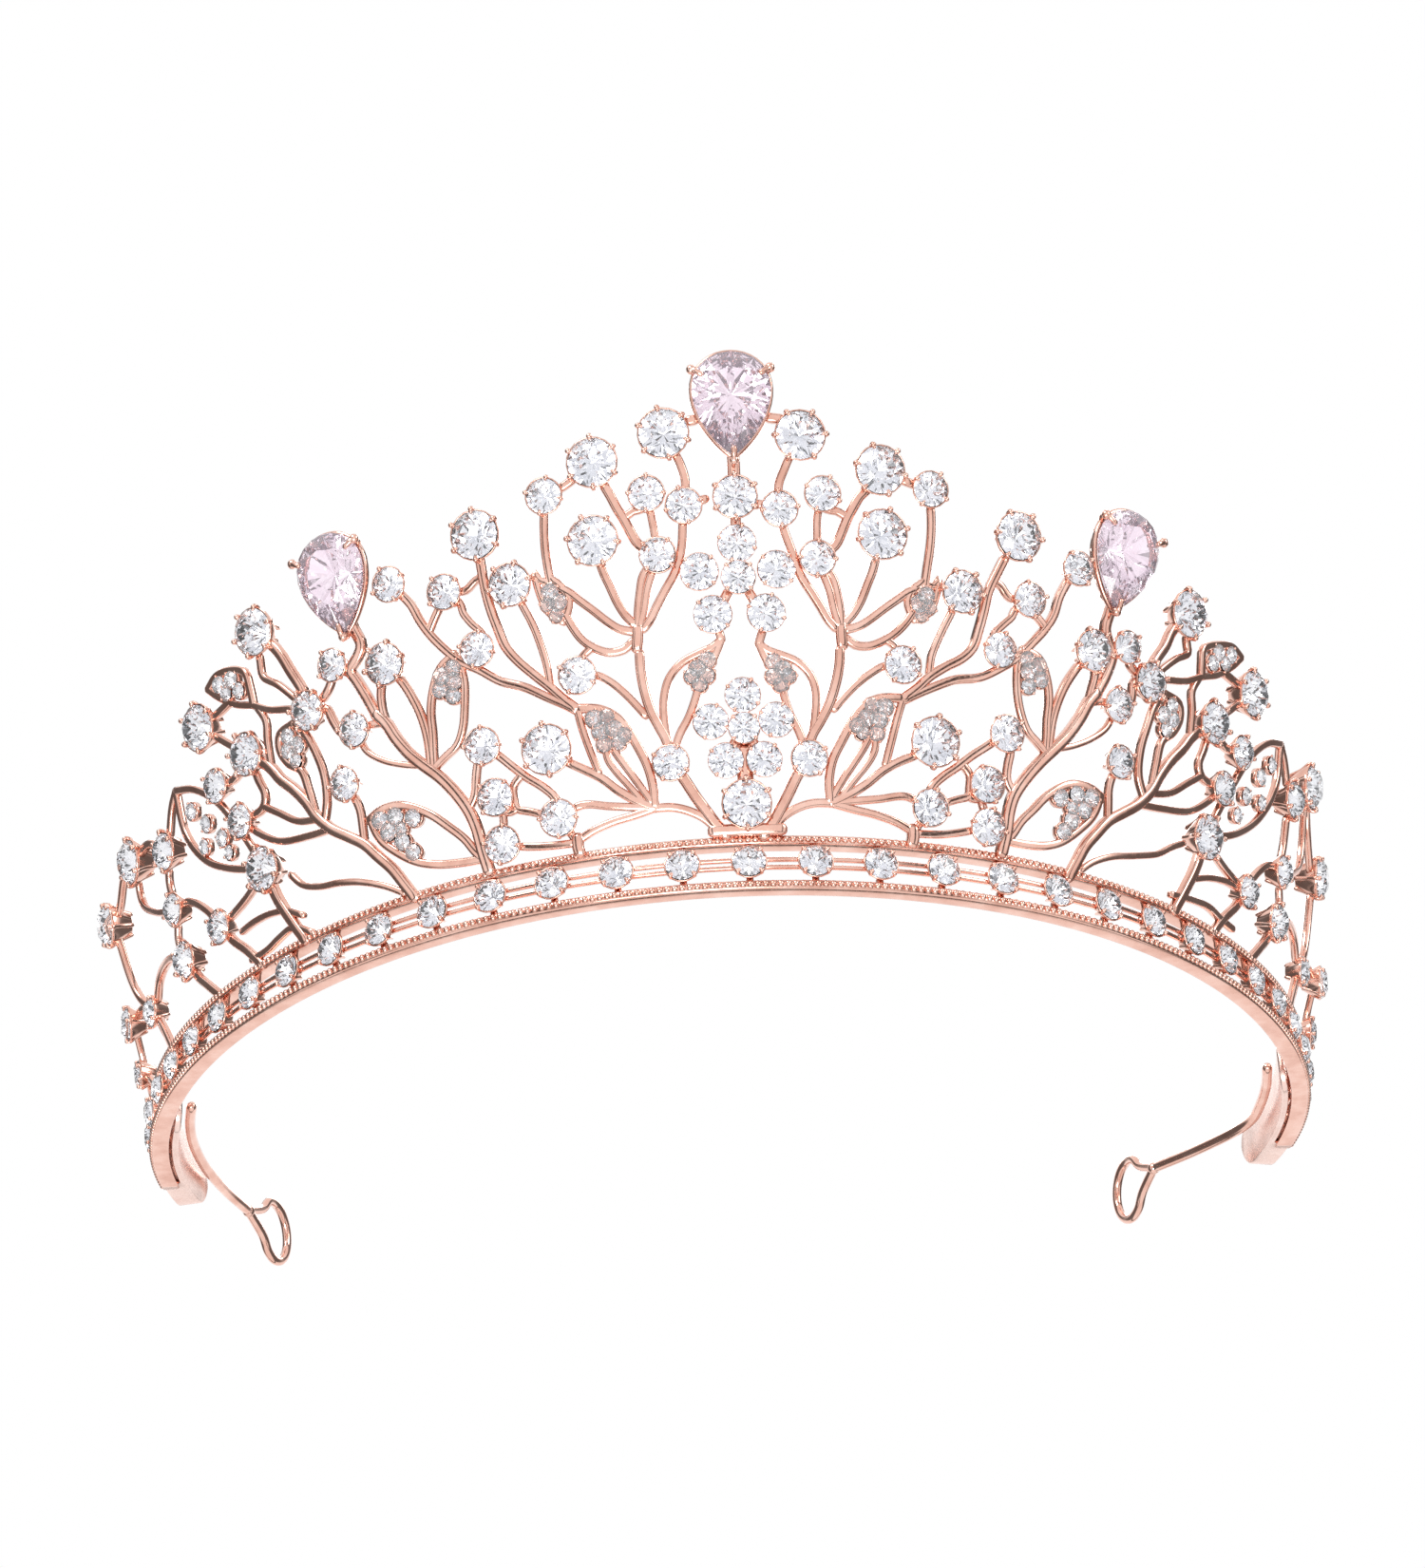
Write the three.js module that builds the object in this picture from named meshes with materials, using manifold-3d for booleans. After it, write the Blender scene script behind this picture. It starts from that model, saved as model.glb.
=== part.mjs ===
// Bridal tiara: rose-gold alloy band and open-work crest set with crystal stones. Millimetres, +Z up,
// the band's flat underside on z = 0, the front of the band facing -Y, the two ends towards +Y.
//
// Everything lies on one flared wall. A place on the wall is (s, h, r): s is the distance along the band
// from its centre line (minus = wearer's right, plus = wearer's left), h the height up the wall measured
// from the row of band stones, r the distance in front of the wall.
import * as THREE from 'three';
import { mergeVertices } from 'three/addons/utils/BufferGeometryUtils.js';
import Module from 'manifold-3d';

const wasm = await Module();
wasm.setup();

// ---------------------------------------------------------------- driving dimensions (mm)
// plan curve: heading(s) = K0 s + K2 s^3/3 + K4 s^5/5
const PLAN_K0 = 0.01433, PLAN_K2 = -7.3187e-07, PLAN_K4 = 6.4671e-11;
// flare of the wall from the vertical, radians: FLARE_0 + FLARE_2 (s/100)^2
const FLARE_0 = 0.38767, FLARE_2 = -0.23911;
const PLAN_INSET = 1.1;       // the wall stands this far inside the plan curve
const BAND_Z = 3.35;          // height of the band-stone row
const RAIL_H = 1.1;           // rail height
const RAIL_DEPTH = 2.2;       // rail depth, front to back
const RAIL_LOW_Z = 0;         // underside of the lower rail
const RAIL_UP_Z = 5.65;       // underside of the upper rail
const RAIL_END = 124;         // rails stop here, the end tabs carry on
const BAND_PITCH = 7.6;       // spacing of the band stones
const BAND_STONES = 16;       // stones on each side of the centre one
const BAND_STONE_D = 3.9;      // across the flats of a band cup
const TAB_START = 103;        // inner strip of each end tab starts here
const TAB_END = 133;          // rounded end of the band
const TAB_T = 0.9;            // strip thickness
const MERGE = 0.004;          // edges shorter than this are closed up after the joins
const GAP = 0.3;              // clearance between neighbouring pieces
const CUP_WALL = 0.75;        // setting wall outside the stone, clearance included
const PEAR_W = 9.6, PEAR_L = 12.8;
const STEM_SIDES = 4, STEM_PITCH = 8;   // facets round a stem, length of one facet
const LOOP_WIRE = 1.3, LOOP_R = 4.15;
// each end loop in plan: where its leg leaves the band, the neck, the middle of the ring
const LOOP_LEFT = { leg: [[68.9, 86.5], [67.2, 94.5]], neck: [64.8, 102.4], mid: [61.9, 110.2] };
const LOOP_RIGHT = { leg: [[68.0, 86.0], [63.6, 93.0]], neck: [58.6, 99.2], mid: [56.2, 106.6] };

// Heads along the crest: [node name or '' when the stone is one body with its setting, spray, stone diameter, left [s,h,r], right [s,h,r]]
const HEADS = [
  ['wing_stone_inner','wing',6.2,[-6.3,50.19],[6.15,49.52]],
  ['wing_stone_outer','wing',6.2,[-13.06,47.72],[13.74,45.94]],
  ['','wing',4.2,[-17.96,44.71],[18.79,44.29]],
  ['','wing',4.1,[-8.28,43.4],[8.25,42.76]],
  ['','wing',4.1,[-4.86,41.67],[4.17,40.93]],
  ['inner_stone_top','inner',6.2,[-25.29,41.87],[28.47,40.56]],
  ['wing_stone_lower','wing',6.2,[-13.76,38.67],[14.17,38.46]],
  ['','wing',4.1,[-7.65,36.19],[7.79,35.26]],
  ['','inner',4.1,[-35.36,39.04],[35.82,38.57]],
  ['','inner',4.1,[-29.5,36.24],[30.46,33.44]],
  ['inner_stone_mid','inner',5.3,[-22.54,35.27],[22.8,32.87]],
  ['outer_stone_top','outer',6.2,[-53.56,40.46],[52.17,38.46]],
  ['','inner',4.1,[-27.03,28.73],[27.56,26.8]],
  ['mid_stone_top','mid',5.3,[-37.7,30.16],[39.08,29.53]],
  ['','mid',3.9,[-44.09,32.28],[43.55,31.26]],
  ['','wing',4.3,[-16.88,23.53],[16.82,23.54]],
  ['outer_stone_mid','outer',5,[-48.74,28.41],[47.63,28.26]],
  ['','mid',4.1,[-43.14,23.97],[43.44,24.09]],
  ['outer_stone_far','outer',6.2,[-66.53,34.09],[66.53,34.09]],
  ['','inner',4.3,[-28.29,17.62],[29.3,17.31]],
  ['inner_stone_low','inner',6.2,[-21.22,15.68],[20.92,15.05]],
  ['outer_stone_low','outer',5.6,[-59.34,27.31],[59.34,27.31]],
  ['','centre',4.1,[-7.99,12.28],[6.95,12.21]],
  ['','outer',4,[-45.99,18.3],[44.77,17.51]],
  ['','outer',4.2,[-65.94,26.11],[65.94,26.11]],
  ['','inner',4.3,[-27.84,11.46],[27.48,11.01]],
  ['','inner',4.3,[-20.98,7.66],[20.84,7.4]],
  ['','outer',4.2,[-63.07,20.28],[63.07,20.28]],
  ['','inner',4.3,[-27.96,5.95],[28.07,6.12]],
  ['side_stone_top','side',6.2,[-90,27.5,1.5],[91,33,0.6]],
  ['','side',5.7,[-61.3,13.4],[61.3,13.4]],
  ['','side',4.2,[-72,10.3],[72,10.3]],
  ['','side',5,[-81.9,10.2],[81.9,10.2]],
  ['','side',4,[-98.5,10.6],[98.5,10.6]],
  ['','side',5,[-80,24,0.5],[82,26.8,0.4]],
  ['','side',4.2,[-82,17],[82,17]],
  ['','side',6,[-101,24.2,3.6],[100.5,24.8,1.6]],
  ['','side',4.4,[-106,12.5,2.2],[106,12.5,2.2]],
  ['','side',3.8,[-111,7.6,1.2],[111,7.6,1.2]],
  ['','side',3.6,[-118.5,5.4,0.8],[118.5,5.4,0.8]],
];
// Stems and leaf outlines: [spray, width, left points [s,h,r], right points [s,h,r]]
const STEMS = [
  ['centre',1.7,[[-2.37,3.69],[-3.56,5.06],[-4.52,6.53],[-5.65,8.34],[-6.75,10.39],[-7.99,12.28]],[[1.81,3.47],[2.9,4.87],[3.75,6.38],[4.73,8.25],[5.72,10.32],[6.95,12.21]]],
  ['centre',1.5,[[-7.99,12.28],[-8.26,14.78],[-8.93,16.48],[-9.67,18.42],[-10.16,20.89],[-10.35,23.32],[-10.3,25.07]],[[6.95,12.21],[7.28,14.71],[8.17,16.44],[9.12,18.42],[9.8,20.81],[10.18,23.12],[10.23,24.76]]],
  ['centre',1.2,[[-7.99,12.28],[-8.36,17.4],[-8.16,20.01],[-7.42,22.12],[-5.96,23.73],[-4.08,24.68],[-2.81,25.25],[-1.92,26.07]],[[6.95,12.21],[7.67,17.34],[7.72,19.88],[7.15,21.86],[5.8,23.34],[3.98,24.18],[2.74,24.7],[1.87,25.48]]],
  ['centre',1.2,[[-7.99,12.28],[-6.8,15.51],[-5.78,17.28],[-5.08,18.96],[-4.38,20.98],[-3.31,22.88],[-2.57,24.36],[-1.92,26.07]],[[6.95,12.21],[5.86,15.43],[5.04,17.16],[4.53,18.78],[4.03,20.69],[3.11,22.46],[2.45,23.86],[1.87,25.48]]],
  ['centre',1.3,[[-1.92,26.07],[-2.24,27.4],[-2.56,28.62]],[[1.87,25.48],[2.24,26.75],[2.59,27.92]]],
  ['wing',1.7,[[-10.54,25.83],[-10.35,26.91],[-10.27,27.99]],[[10.5,25.46],[10.37,26.44],[10.34,27.44]]],
  ['wing',1.2,[[-10.27,27.99],[-10.12,29.85],[-9.77,32],[-9.24,34.14],[-7.65,36.19]],[[10.34,27.44],[10.26,29.15],[9.93,31.2],[9.39,33.25],[7.79,35.26]]],
  ['wing',1.2,[[-10.06,28.19],[-9.43,30.31],[-8.99,32.46],[-7.65,36.19]],[[10.14,27.61],[9.56,29.57],[9.13,31.62],[7.79,35.26]]],
  ['wing',1.3,[[-10.6,28.59],[-11.37,29.68],[-12.08,31.32],[-12.66,33.28],[-13.17,35.02],[-13.76,38.67]],[[10.7,27.99],[11.51,29.02],[12.29,30.59],[12.93,32.58],[13.51,34.49],[14.17,38.46]]],
  ['wing',1.3,[[-9.7,27.93],[-8.97,28.83],[-8.1,30.49],[-7.14,32.26],[-6.31,33.71],[-5.78,34.98],[-5.3,37.03],[-5.09,39.21],[-4.86,41.67]],[[9.76,27.35],[9.06,28.17],[8.22,29.72],[7.27,31.4],[6.44,32.81],[5.9,34.07],[5.35,36.14],[4.65,38.44],[4.17,40.93]]],
  ['wing',1.3,[[-10.86,27.74],[-12.16,28.25],[-13.31,29.3],[-14.43,30.58],[-15.73,32.01],[-16.75,33.2],[-17.99,34.21]],[[10.92,27.23],[12.24,27.73],[13.45,28.7],[14.66,29.84],[16.05,31.09],[17.14,32.08],[18.4,32.75]]],
  ['wing',1.3,[[-10.85,26.64],[-11.89,25.79],[-13.36,25.67],[-14.76,26.32],[-16,27.52],[-16.89,29.23],[-17.63,31.36]],[[10.86,26.22],[11.86,25.5],[13.32,25.49],[14.73,26.17],[16.04,27.22],[17.08,28.53],[17.97,30.18]]],
  ['wing',1.2,[[-15.02,26.59],[-16.09,25.77],[-16.61,24.64],[-16.88,23.53]],[[15.01,26.41],[16.05,25.71],[16.55,24.65],[16.82,23.54]]],
  ['wing',1.5,[[-13.06,47.72],[-12.14,44.83],[-11.7,43.65],[-11.19,42.13],[-10.66,40.84],[-10.14,39.33],[-9.44,37.69],[-7.65,36.19]],[[13.74,45.94],[12.6,43.58],[11.95,42.78],[11.34,41.46],[10.81,40.23],[10.31,38.71],[9.58,36.86],[7.79,35.26]]],
  ['wing',1.2,[[-10.66,40.84],[-9.7,41.59],[-8.7,41.8],[-8.28,43.4]],[[10.81,40.23],[9.71,40.92],[8.66,41.13],[8.25,42.76]]],
  ['wing',1.2,[[-8.28,43.4],[-7.98,40.61],[-7.82,38.82],[-7.65,36.19]],[[8.25,42.76],[7.82,39.89],[7.83,37.99],[7.79,35.26]]],
  ['wing',1.3,[[-6.3,50.19],[-5.27,47.61],[-4.83,46.14],[-4.56,44.46],[-4.86,41.67]],[[6.15,49.52],[5.15,46.9],[4.64,45.41],[4.15,43.73],[4.17,40.93]]],
  ['wing',1.3,[[-17.96,44.71],[-15.95,45.62],[-13.06,47.72]],[[18.79,44.29],[16.73,44.93],[13.74,45.94]]],
  ['wing',1.3,[[-17.96,44.71],[-18.38,41.76],[-18.6,39.02],[-18.59,36.56],[-18.5,34.76]],[[18.79,44.29],[19.22,41.14],[19.28,38],[19.07,35.08],[18.92,33.11]]],
  ['wing',1.1,[[-18.5,34.76],[-19.52,35.19],[-19.98,36.19],[-19.73,33.45],[-19.1,31.32],[-17.79,29.95]],[[18.92,33.11],[19.9,33.18],[20.37,34.1],[20.09,31.47],[19.47,29.85],[18.06,28.99]]],
  ['wing',1.2,[[-18.45,35.2],[-17.52,34.12],[-16.86,32.22],[-17.57,30.13]],[[18.89,33.59],[17.93,32.82],[17.21,31.1],[17.84,29.16]]],
  ['wing',1.3,[[-4.86,41.67],[-2.81,42.35]],[[4.17,40.93],[2.21,41.6]]],
  ['inner',1.8,[[-19.22,3.4],[-19.34,4.19],[-19.22,5.05]],[[19.09,3.16],[19.2,3.94],[19.08,4.79]]],
  ['inner',1.2,[[-19.14,4.81],[-17.4,5.63],[-14.84,6.36],[-12.67,6.73],[-10.19,7.32]],[[19,4.56],[17.23,5.38],[14.55,6.12],[12.18,6.54],[9.44,7.19]]],
  ['inner',1.2,[[-20.98,7.66],[-18.3,8.74],[-15.17,8.15],[-12.57,7.7],[-10.19,7.32]],[[20.84,7.4],[18.14,8.47],[14.86,7.92],[12.02,7.53],[9.44,7.19]]],
  ['inner',1.3,[[-10.19,7.32],[-8.32,7.24],[-6.68,6.77],[-4.87,5.77],[-3.67,4.61]],[[9.44,7.19],[7.48,7.13],[5.86,6.65],[4.14,5.61],[3.05,4.42]]],
  ['inner',1.4,[[-10.17,7.54],[-10.17,9.93],[-10.59,12.27],[-11.33,14.32],[-12.25,16.4],[-13.3,18.07],[-14.99,19.31],[-17.46,19.82]],[[9.4,7.41],[9.23,9.85],[9.62,12.2],[10.56,14.32],[11.65,16.57],[12.7,18.29],[14.46,19.47],[17.2,19.77]]],
  ['inner',1.2,[[-17.46,19.82],[-17.2,17.68],[-16.68,15.07],[-15.97,12.21]],[[17.2,19.77],[16.71,17.75],[16.18,15.11],[15.57,12.07]]],
  ['inner',1.2,[[-10.45,8],[-11.61,10.09],[-12.67,11.97],[-13.72,13.86],[-14.4,15.27]],[[9.66,7.88],[10.8,10],[11.98,11.91],[13.14,13.95],[13.8,15.48]]],
  ['inner',1.1,[[-11.38,8.1],[-12.84,10.24],[-14.02,11.93],[-14.79,13.46],[-14.9,15.34]],[[10.67,7.97],[12.2,10.13],[13.48,11.86],[14.26,13.51],[14.3,15.55]]],
  ['inner',1.4,[[-10.19,7.32],[-12.19,8.42],[-13.94,9.73],[-15.65,11.4],[-17.39,12.65],[-19.13,13.83],[-21.22,15.68]],[[9.44,7.19],[11.55,8.27],[13.45,9.57],[15.26,11.23],[17.06,12.4],[18.85,13.33],[20.92,15.05]]],
  ['inner',1.4,[[-28.29,17.62],[-26.67,16.03],[-25.37,14.51],[-23.97,12.99],[-22.34,11.55],[-21.15,10],[-20.98,7.66]],[[29.3,17.31],[27.42,15.68],[25.44,14.07],[23.81,12.53],[22.16,11.16],[21,9.73],[20.84,7.4]]],
  ['inner',1.2,[[-24.56,13.44],[-25.72,12.36],[-25.88,10.73],[-25.72,9.69],[-24.26,9.05],[-20.98,7.66]],[[24.43,12.99],[25.46,11.93],[25.59,10.32],[25.5,9.36],[24.12,8.8],[20.84,7.4]]],
  ['inner',1.2,[[-25.72,9.69],[-26.99,9.52],[-27.84,11.46]],[[25.5,9.36],[26.72,9.17],[27.48,11.01]]],
  ['inner',1.2,[[-27.84,11.46],[-27.5,9.19],[-27.78,7.58],[-27.96,5.95]],[[27.48,11.01],[27.28,8.89],[27.85,7.69],[28.07,6.12]]],
  ['inner',1.2,[[-27.96,5.95],[-25.45,5.2],[-22.69,4.77],[-19.72,4.58]],[[28.07,6.12],[25.5,5.26],[22.59,4.57],[19.59,4.33]]],
  ['inner',1.3,[[-20.98,7.66],[-19.99,5.83],[-19.28,4.62]],[[20.84,7.4],[19.85,5.58],[19.14,4.37]]],
  ['inner',1.5,[[-17.46,19.82],[-18.82,21.28],[-19.96,22.72],[-21.47,24.47],[-23.04,26.48],[-24.1,28.4],[-24.67,30.9],[-25.06,33.13],[-25.29,35.67],[-25.33,38.16],[-25.29,41.87]],[[17.2,19.77],[18.73,21.17],[19.94,22.55],[21.62,23.92],[23.46,25.2],[24.62,26.67],[25.2,29.05],[25.55,31.02],[25.87,33.43],[26.85,36.31],[28.47,40.56]]],
  ['inner',1.4,[[-17.59,19.62],[-18.71,20.49],[-20.32,21.57],[-22.67,23.27],[-25.1,24.5],[-27.43,26.53],[-29.24,27.92],[-30.84,29.96],[-32.11,32.05],[-32.96,34.03],[-33.58,36.06],[-35.36,39.04]],[[17.3,19.56],[18.57,20.34],[20.28,21.31],[22.89,22.62],[25.6,23.31],[28.02,24.87],[29.95,26.54],[31.6,28.67],[32.92,30.57],[33.77,32.38],[34.25,34.8],[35.82,38.57]]],
  ['inner',1.2,[[-22.54,35.27],[-21.62,32.53],[-20.91,30.25],[-20.35,27.57],[-20.04,25.28],[-19.96,22.72]],[[22.8,32.87],[21.97,30.39],[21.31,28.71],[20.59,26.73],[20.09,24.97],[19.94,22.55]]],
  ['inner',1.2,[[-32.2,32.19],[-31.42,33.44],[-30.56,34.66],[-29.5,36.24]],[[33.01,30.7],[32.28,31.38],[31.49,32.04],[30.46,33.44]]],
  ['inner',1.2,[[-29.5,36.24],[-28.23,34.66],[-28.02,33.35],[-27.31,31.92],[-26.39,30.43],[-27.03,28.73]],[[30.46,33.44],[29.15,32.05],[28.83,31.11],[27.93,30.02],[26.94,28.55],[27.56,26.8]]],
  ['inner',1.2,[[-29.5,36.24],[-27.41,35.9],[-26.14,36.8],[-25.4,37.05]],[[30.46,33.44],[28.35,33.31],[27.11,34.57],[26.31,34.93]]],
  ['inner',1.2,[[-27.03,28.73],[-28.35,27.45]],[[27.56,26.8],[28.95,25.77]]],
  ['wing',1.2,[[-16.88,23.53],[-14.97,23.27],[-13.59,22.29],[-12.33,20.9],[-11.18,19.33],[-10.3,18.02]],[[16.82,23.54],[14.91,23.26],[13.43,22.24],[11.99,20.9],[10.7,19.38],[9.73,18.05]]],
  ['mid',1.9,[[-30.31,3.47],[-30.64,6],[-30.86,8.52],[-31.38,10.67],[-32.54,13.11],[-34.07,15.44],[-35.81,17.41],[-37.23,19.21],[-38.45,21.43],[-39.24,23.41],[-40.26,24.91]],[[30.36,3.54],[30.7,6.09],[30.77,8.37],[31.19,10.31],[32.52,12.71],[34.18,15.01],[35.82,16.94],[37.24,18.73],[38.58,21.06],[39.49,23.18],[40.55,24.79]]],
  ['mid',1.7,[[-40.26,24.91],[-40.96,27.24],[-41.87,29.78],[-42.34,31],[-41.06,32.17],[-40.29,33.4],[-40.71,35.31],[-41.12,37.81]],[[40.55,24.79],[41.37,26.87],[41.93,29.03],[42,30.08],[41.13,31.33],[40.61,32.62],[40.87,34.58],[41.47,37.42]]],
  ['mid',1.3,[[-39.24,23.41],[-39.37,25.53],[-39.05,27.51],[-37.7,30.16]],[[39.49,23.18],[39.82,25.2],[40.01,26.92],[39.08,29.53]]],
  ['mid',1.4,[[-37.7,30.16],[-36.14,27.13],[-35.4,25.06],[-34.89,22.96],[-34.66,20.61],[-34.77,18.37],[-35.02,16.62]],[[39.08,29.53],[37.15,26.43],[36.14,24.32],[35.49,22.26],[35.09,20.02],[35.03,17.86],[35.08,16.15]]],
  ['mid',1.3,[[-44.09,32.28],[-42.96,31.11],[-42.1,30.45]],[[43.55,31.26],[42.49,30.14],[41.93,29.6]]],
  ['mid',1.3,[[-34.57,16.49],[-34.33,18.24],[-33.96,20.63],[-33.69,23.17],[-32.84,25.77],[-31.55,27.89],[-29.82,28.99]],[[34.7,16.03],[34.64,17.74],[34.45,20.03],[34.4,22.41],[33.74,24.95],[32.44,27.04],[30.52,27.6]]],
  ['mid',1.2,[[-34.53,16.7],[-32.93,17.62],[-31.37,18.55],[-30.36,20.31],[-29.69,22.84],[-29.24,25.43],[-29.34,27.38],[-29.82,28.99]],[[34.68,16.24],[33.44,17.18],[32.15,18.15],[31.16,19.85],[30.44,22.04],[30.08,24.49],[30.12,26.22],[30.52,27.6]]],
  ['mid',1.2,[[-43.14,23.97],[-41.24,23.97],[-39.44,23.59]],[[43.44,24.09],[41.5,24.02],[39.7,23.4]]],
  ['mid',1,[[-43.14,23.97],[-42.53,21.28],[-40.77,19.53],[-38.21,18.14],[-35.94,17.34]],[[43.44,24.09],[42.53,21.17],[40.46,19.15],[37.97,17.68],[35.93,16.86]]],
  ['mid',1.3,[[-28.29,17.62],[-29.39,15.79],[-29.92,14.12],[-30.35,12.43],[-31.3,11.1]],[[29.3,17.31],[30.21,15.45],[30.07,13.72],[30.14,12.02],[31.11,10.72]]],
  ['mid',1.4,[[-30.74,4.91],[-31.59,6.01],[-32.56,7.71],[-34.22,9.6],[-36.22,11.62],[-39.28,13.53],[-42.02,13.93],[-44.04,13.31]],[[30.8,4.99],[31.61,6.02],[32.47,7.55],[33.94,9.27],[35.55,11.21],[38.24,13.12],[40.97,13.5],[43.04,12.84]]],
  ['mid',1.3,[[-30.74,4.91],[-33.58,5.15],[-36.67,5.73],[-39.22,6.78],[-41.52,8.6],[-43.26,10.63],[-44.04,13.31]],[[30.8,4.99],[33.48,5.02],[36.23,5.41],[38.42,6.39],[40.48,8.19],[42.19,10.22],[43.04,12.84]]],
  ['outer',1.8,[[-40.33,2.77],[-41.41,4.79],[-42.5,6.83],[-44.01,8.79],[-45.53,10.79],[-47.48,12.37],[-49.59,14.05],[-51.21,16.06],[-52.2,18.22],[-53.53,20.29],[-55.22,22.31],[-56.36,24.24],[-59.34,27.31]],[[39.84,2.4],[40.73,4.4],[41.62,6.42],[43.05,8.38],[44.61,10.34],[46.64,11.86],[48.79,13.52],[50.49,15.59],[51.57,17.88],[52.96,20.14],[54.67,22.25],[55.97,24.2],[59.34,27.31]]],
  ['outer',1.3,[[-45.53,10.79],[-45.24,12.9],[-45.1,14.94],[-45.99,18.3]],[[44.61,10.34],[44.28,12.39],[44.06,14.29],[44.77,17.51]]],
  ['outer',1.3,[[-50.5,14.96],[-49.29,17.59],[-48.88,20.51],[-49.24,23.25],[-50.07,25.94],[-51.25,27.97]],[[49.74,14.46],[48.28,16.94],[48.01,19.99],[48.55,23.1],[49.23,25.89],[50.33,27.87]]],
  ['outer',1.3,[[-51.38,16.48],[-51.54,19.39],[-51.93,22.15],[-53.49,23.61],[-54.36,25.77],[-53.8,27.47],[-51.25,27.97]],[[50.67,16.03],[50.85,19.06],[51.21,22.1],[52.75,23.64],[53.63,25.8],[53.08,27.46],[50.33,27.87]]],
  ['outer',1.3,[[-51.25,27.97],[-50.44,28.23],[-48.74,28.41]],[[50.33,27.87],[49.39,28.09],[47.63,28.26]]],
  ['outer',1.4,[[-48.74,28.41],[-46.56,27.89],[-45.87,25.86],[-45.08,24.28],[-43.14,23.97]],[[47.63,28.26],[45.65,27.68],[45.58,25.74],[45.25,24.32],[43.44,24.09]]],
  ['outer',1.3,[[-48.74,28.41],[-46.62,29.21],[-45.42,30.17],[-44.09,32.28]],[[47.63,28.26],[45.71,28.93],[44.86,29.4],[43.55,31.26]]],
  ['outer',1.7,[[-53.56,40.46],[-51.14,36.83],[-50.15,34.12],[-49.05,31.02],[-48.74,28.41]],[[52.17,38.46],[50.17,35.41],[49.5,33.44],[48.11,30.75],[47.63,28.26]]],
  ['outer',1.2,[[-53.56,40.46],[-54.12,37.06],[-54.2,35.05],[-52.43,33.29],[-50.84,31.28],[-48.74,28.41]],[[52.17,38.46],[52.94,35.37],[53.38,33.98],[51.74,32.71],[49.99,31],[47.63,28.26]]],
  ['outer',1.3,[[-63.68,37.74],[-61.65,38.49],[-59.39,38.19],[-56.88,36.79],[-56.63,34.61],[-56.7,32.44]],[[63.58,37.59],[61.32,38],[58.72,37.21],[55.96,35.49],[56.04,33.87],[56.35,32.12]]],
  ['outer',1.2,[[-63.68,37.74],[-61.77,35.67],[-59.28,33.72],[-56.7,32.44]],[[63.58,37.59],[61.62,35.46],[59.03,33.42],[56.35,32.12]]],
  ['outer',1.2,[[-56.7,32.44],[-54.19,30.8],[-51.32,29.68],[-48.74,28.41]],[[56.35,32.12],[53.62,30.55],[50.4,29.5],[47.63,28.26]]],
  ['outer',1.2,[[-56.21,31.97],[-55.43,29.9],[-55.91,27.67],[-56.3,24.45]],[[55.84,31.67],[55.04,29.74],[55.61,27.61],[55.9,24.41]]],
  ['outer',1.3,[[-66.53,34.09],[-62.4,34.3],[-60.38,34.59]],[[66.53,34.09],[62.33,34.2],[60.16,34.3]]],
  ['outer',1.3,[[-66.53,34.09],[-62.66,30.27],[-59.34,27.31]],[[66.53,34.09],[62.61,30.23],[59.34,27.31]]],
  ['outer',1.3,[[-65.94,26.11],[-62.77,25.66],[-59.34,27.31]],[[65.94,26.11],[62.75,25.65],[59.34,27.31]]],
  ['outer',1.3,[[-59.34,27.31],[-58.83,23.78],[-58.37,21.72],[-59.23,20.38],[-63.07,20.28]],[[59.34,27.31],[58.73,23.74],[58.21,21.67],[59.15,20.34],[63.07,20.28]]],
  ['outer',1.2,[[-59.15,20.58],[-56.89,18.81],[-54.11,16.67],[-51.28,15.84]],[[59.07,20.54],[56.67,18.71],[53.71,16.44],[50.57,15.39]]],
  ['outer',1.2,[[-63.07,20.28],[-60.98,17.91],[-57.64,15.52],[-52.96,14.43],[-49.59,14.05]],[[63.07,20.28],[60.96,17.89],[57.56,15.47],[52.51,14.13],[48.79,13.52]]],
  ['side',1.8,[[-57.5,3],[-59,6],[-60.5,9.5],[-61.3,13.4]],[[57.5,3],[59,6],[60.5,9.5],[61.3,13.4]]],
  ['side',1.3,[[-61.3,13.4],[-64,19.5],[-67,24.5],[-71,28],[-75.5,30]],[[61.3,13.4],[65.17,20.9],[69,26.9],[73,30.4],[77.5,32.4]]],
  ['side',1.3,[[-61.3,13.4],[-68,16.3],[-72.5,19.5],[-75.5,24.5],[-75.5,30]],[[61.3,13.4],[68.1,16.42],[73.67,20.9],[77.5,26.9],[77.5,32.4]]],
  ['side',1.3,[[-75.5,30],[-77,28.5,0.25],[-80,24,0.5]],[[77.5,32.4],[79,30.9,0.2],[82,26.8,0.4]]],
  ['side',1.5,[[-66,3],[-68,5.5],[-70.5,8],[-72,10.3]],[[66,3],[68,5.5],[70.5,8],[72,10.3]]],
  ['side',1.2,[[-61.3,13.4],[-66,11.5],[-72,10.3]],[[61.3,13.4],[66,11.5],[72,10.3]]],
  ['side',1.3,[[-72,10.3],[-75,14],[-78.5,16.5],[-82,17]],[[72,10.3],[75,14],[78.5,16.5],[82,17]]],
  ['side',1.3,[[-82,17],[-82.5,20.5,0.25],[-80,24,0.5]],[[82,17],[82.5,20.5,0.2],[82,26.8,0.4]]],
  ['side',1.4,[[-80,24,0.5],[-84.5,27.2,1],[-90,27.5,1.5]],[[82,26.8,0.4],[84.5,27.2,0.5],[91,33,0.6]]],
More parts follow.
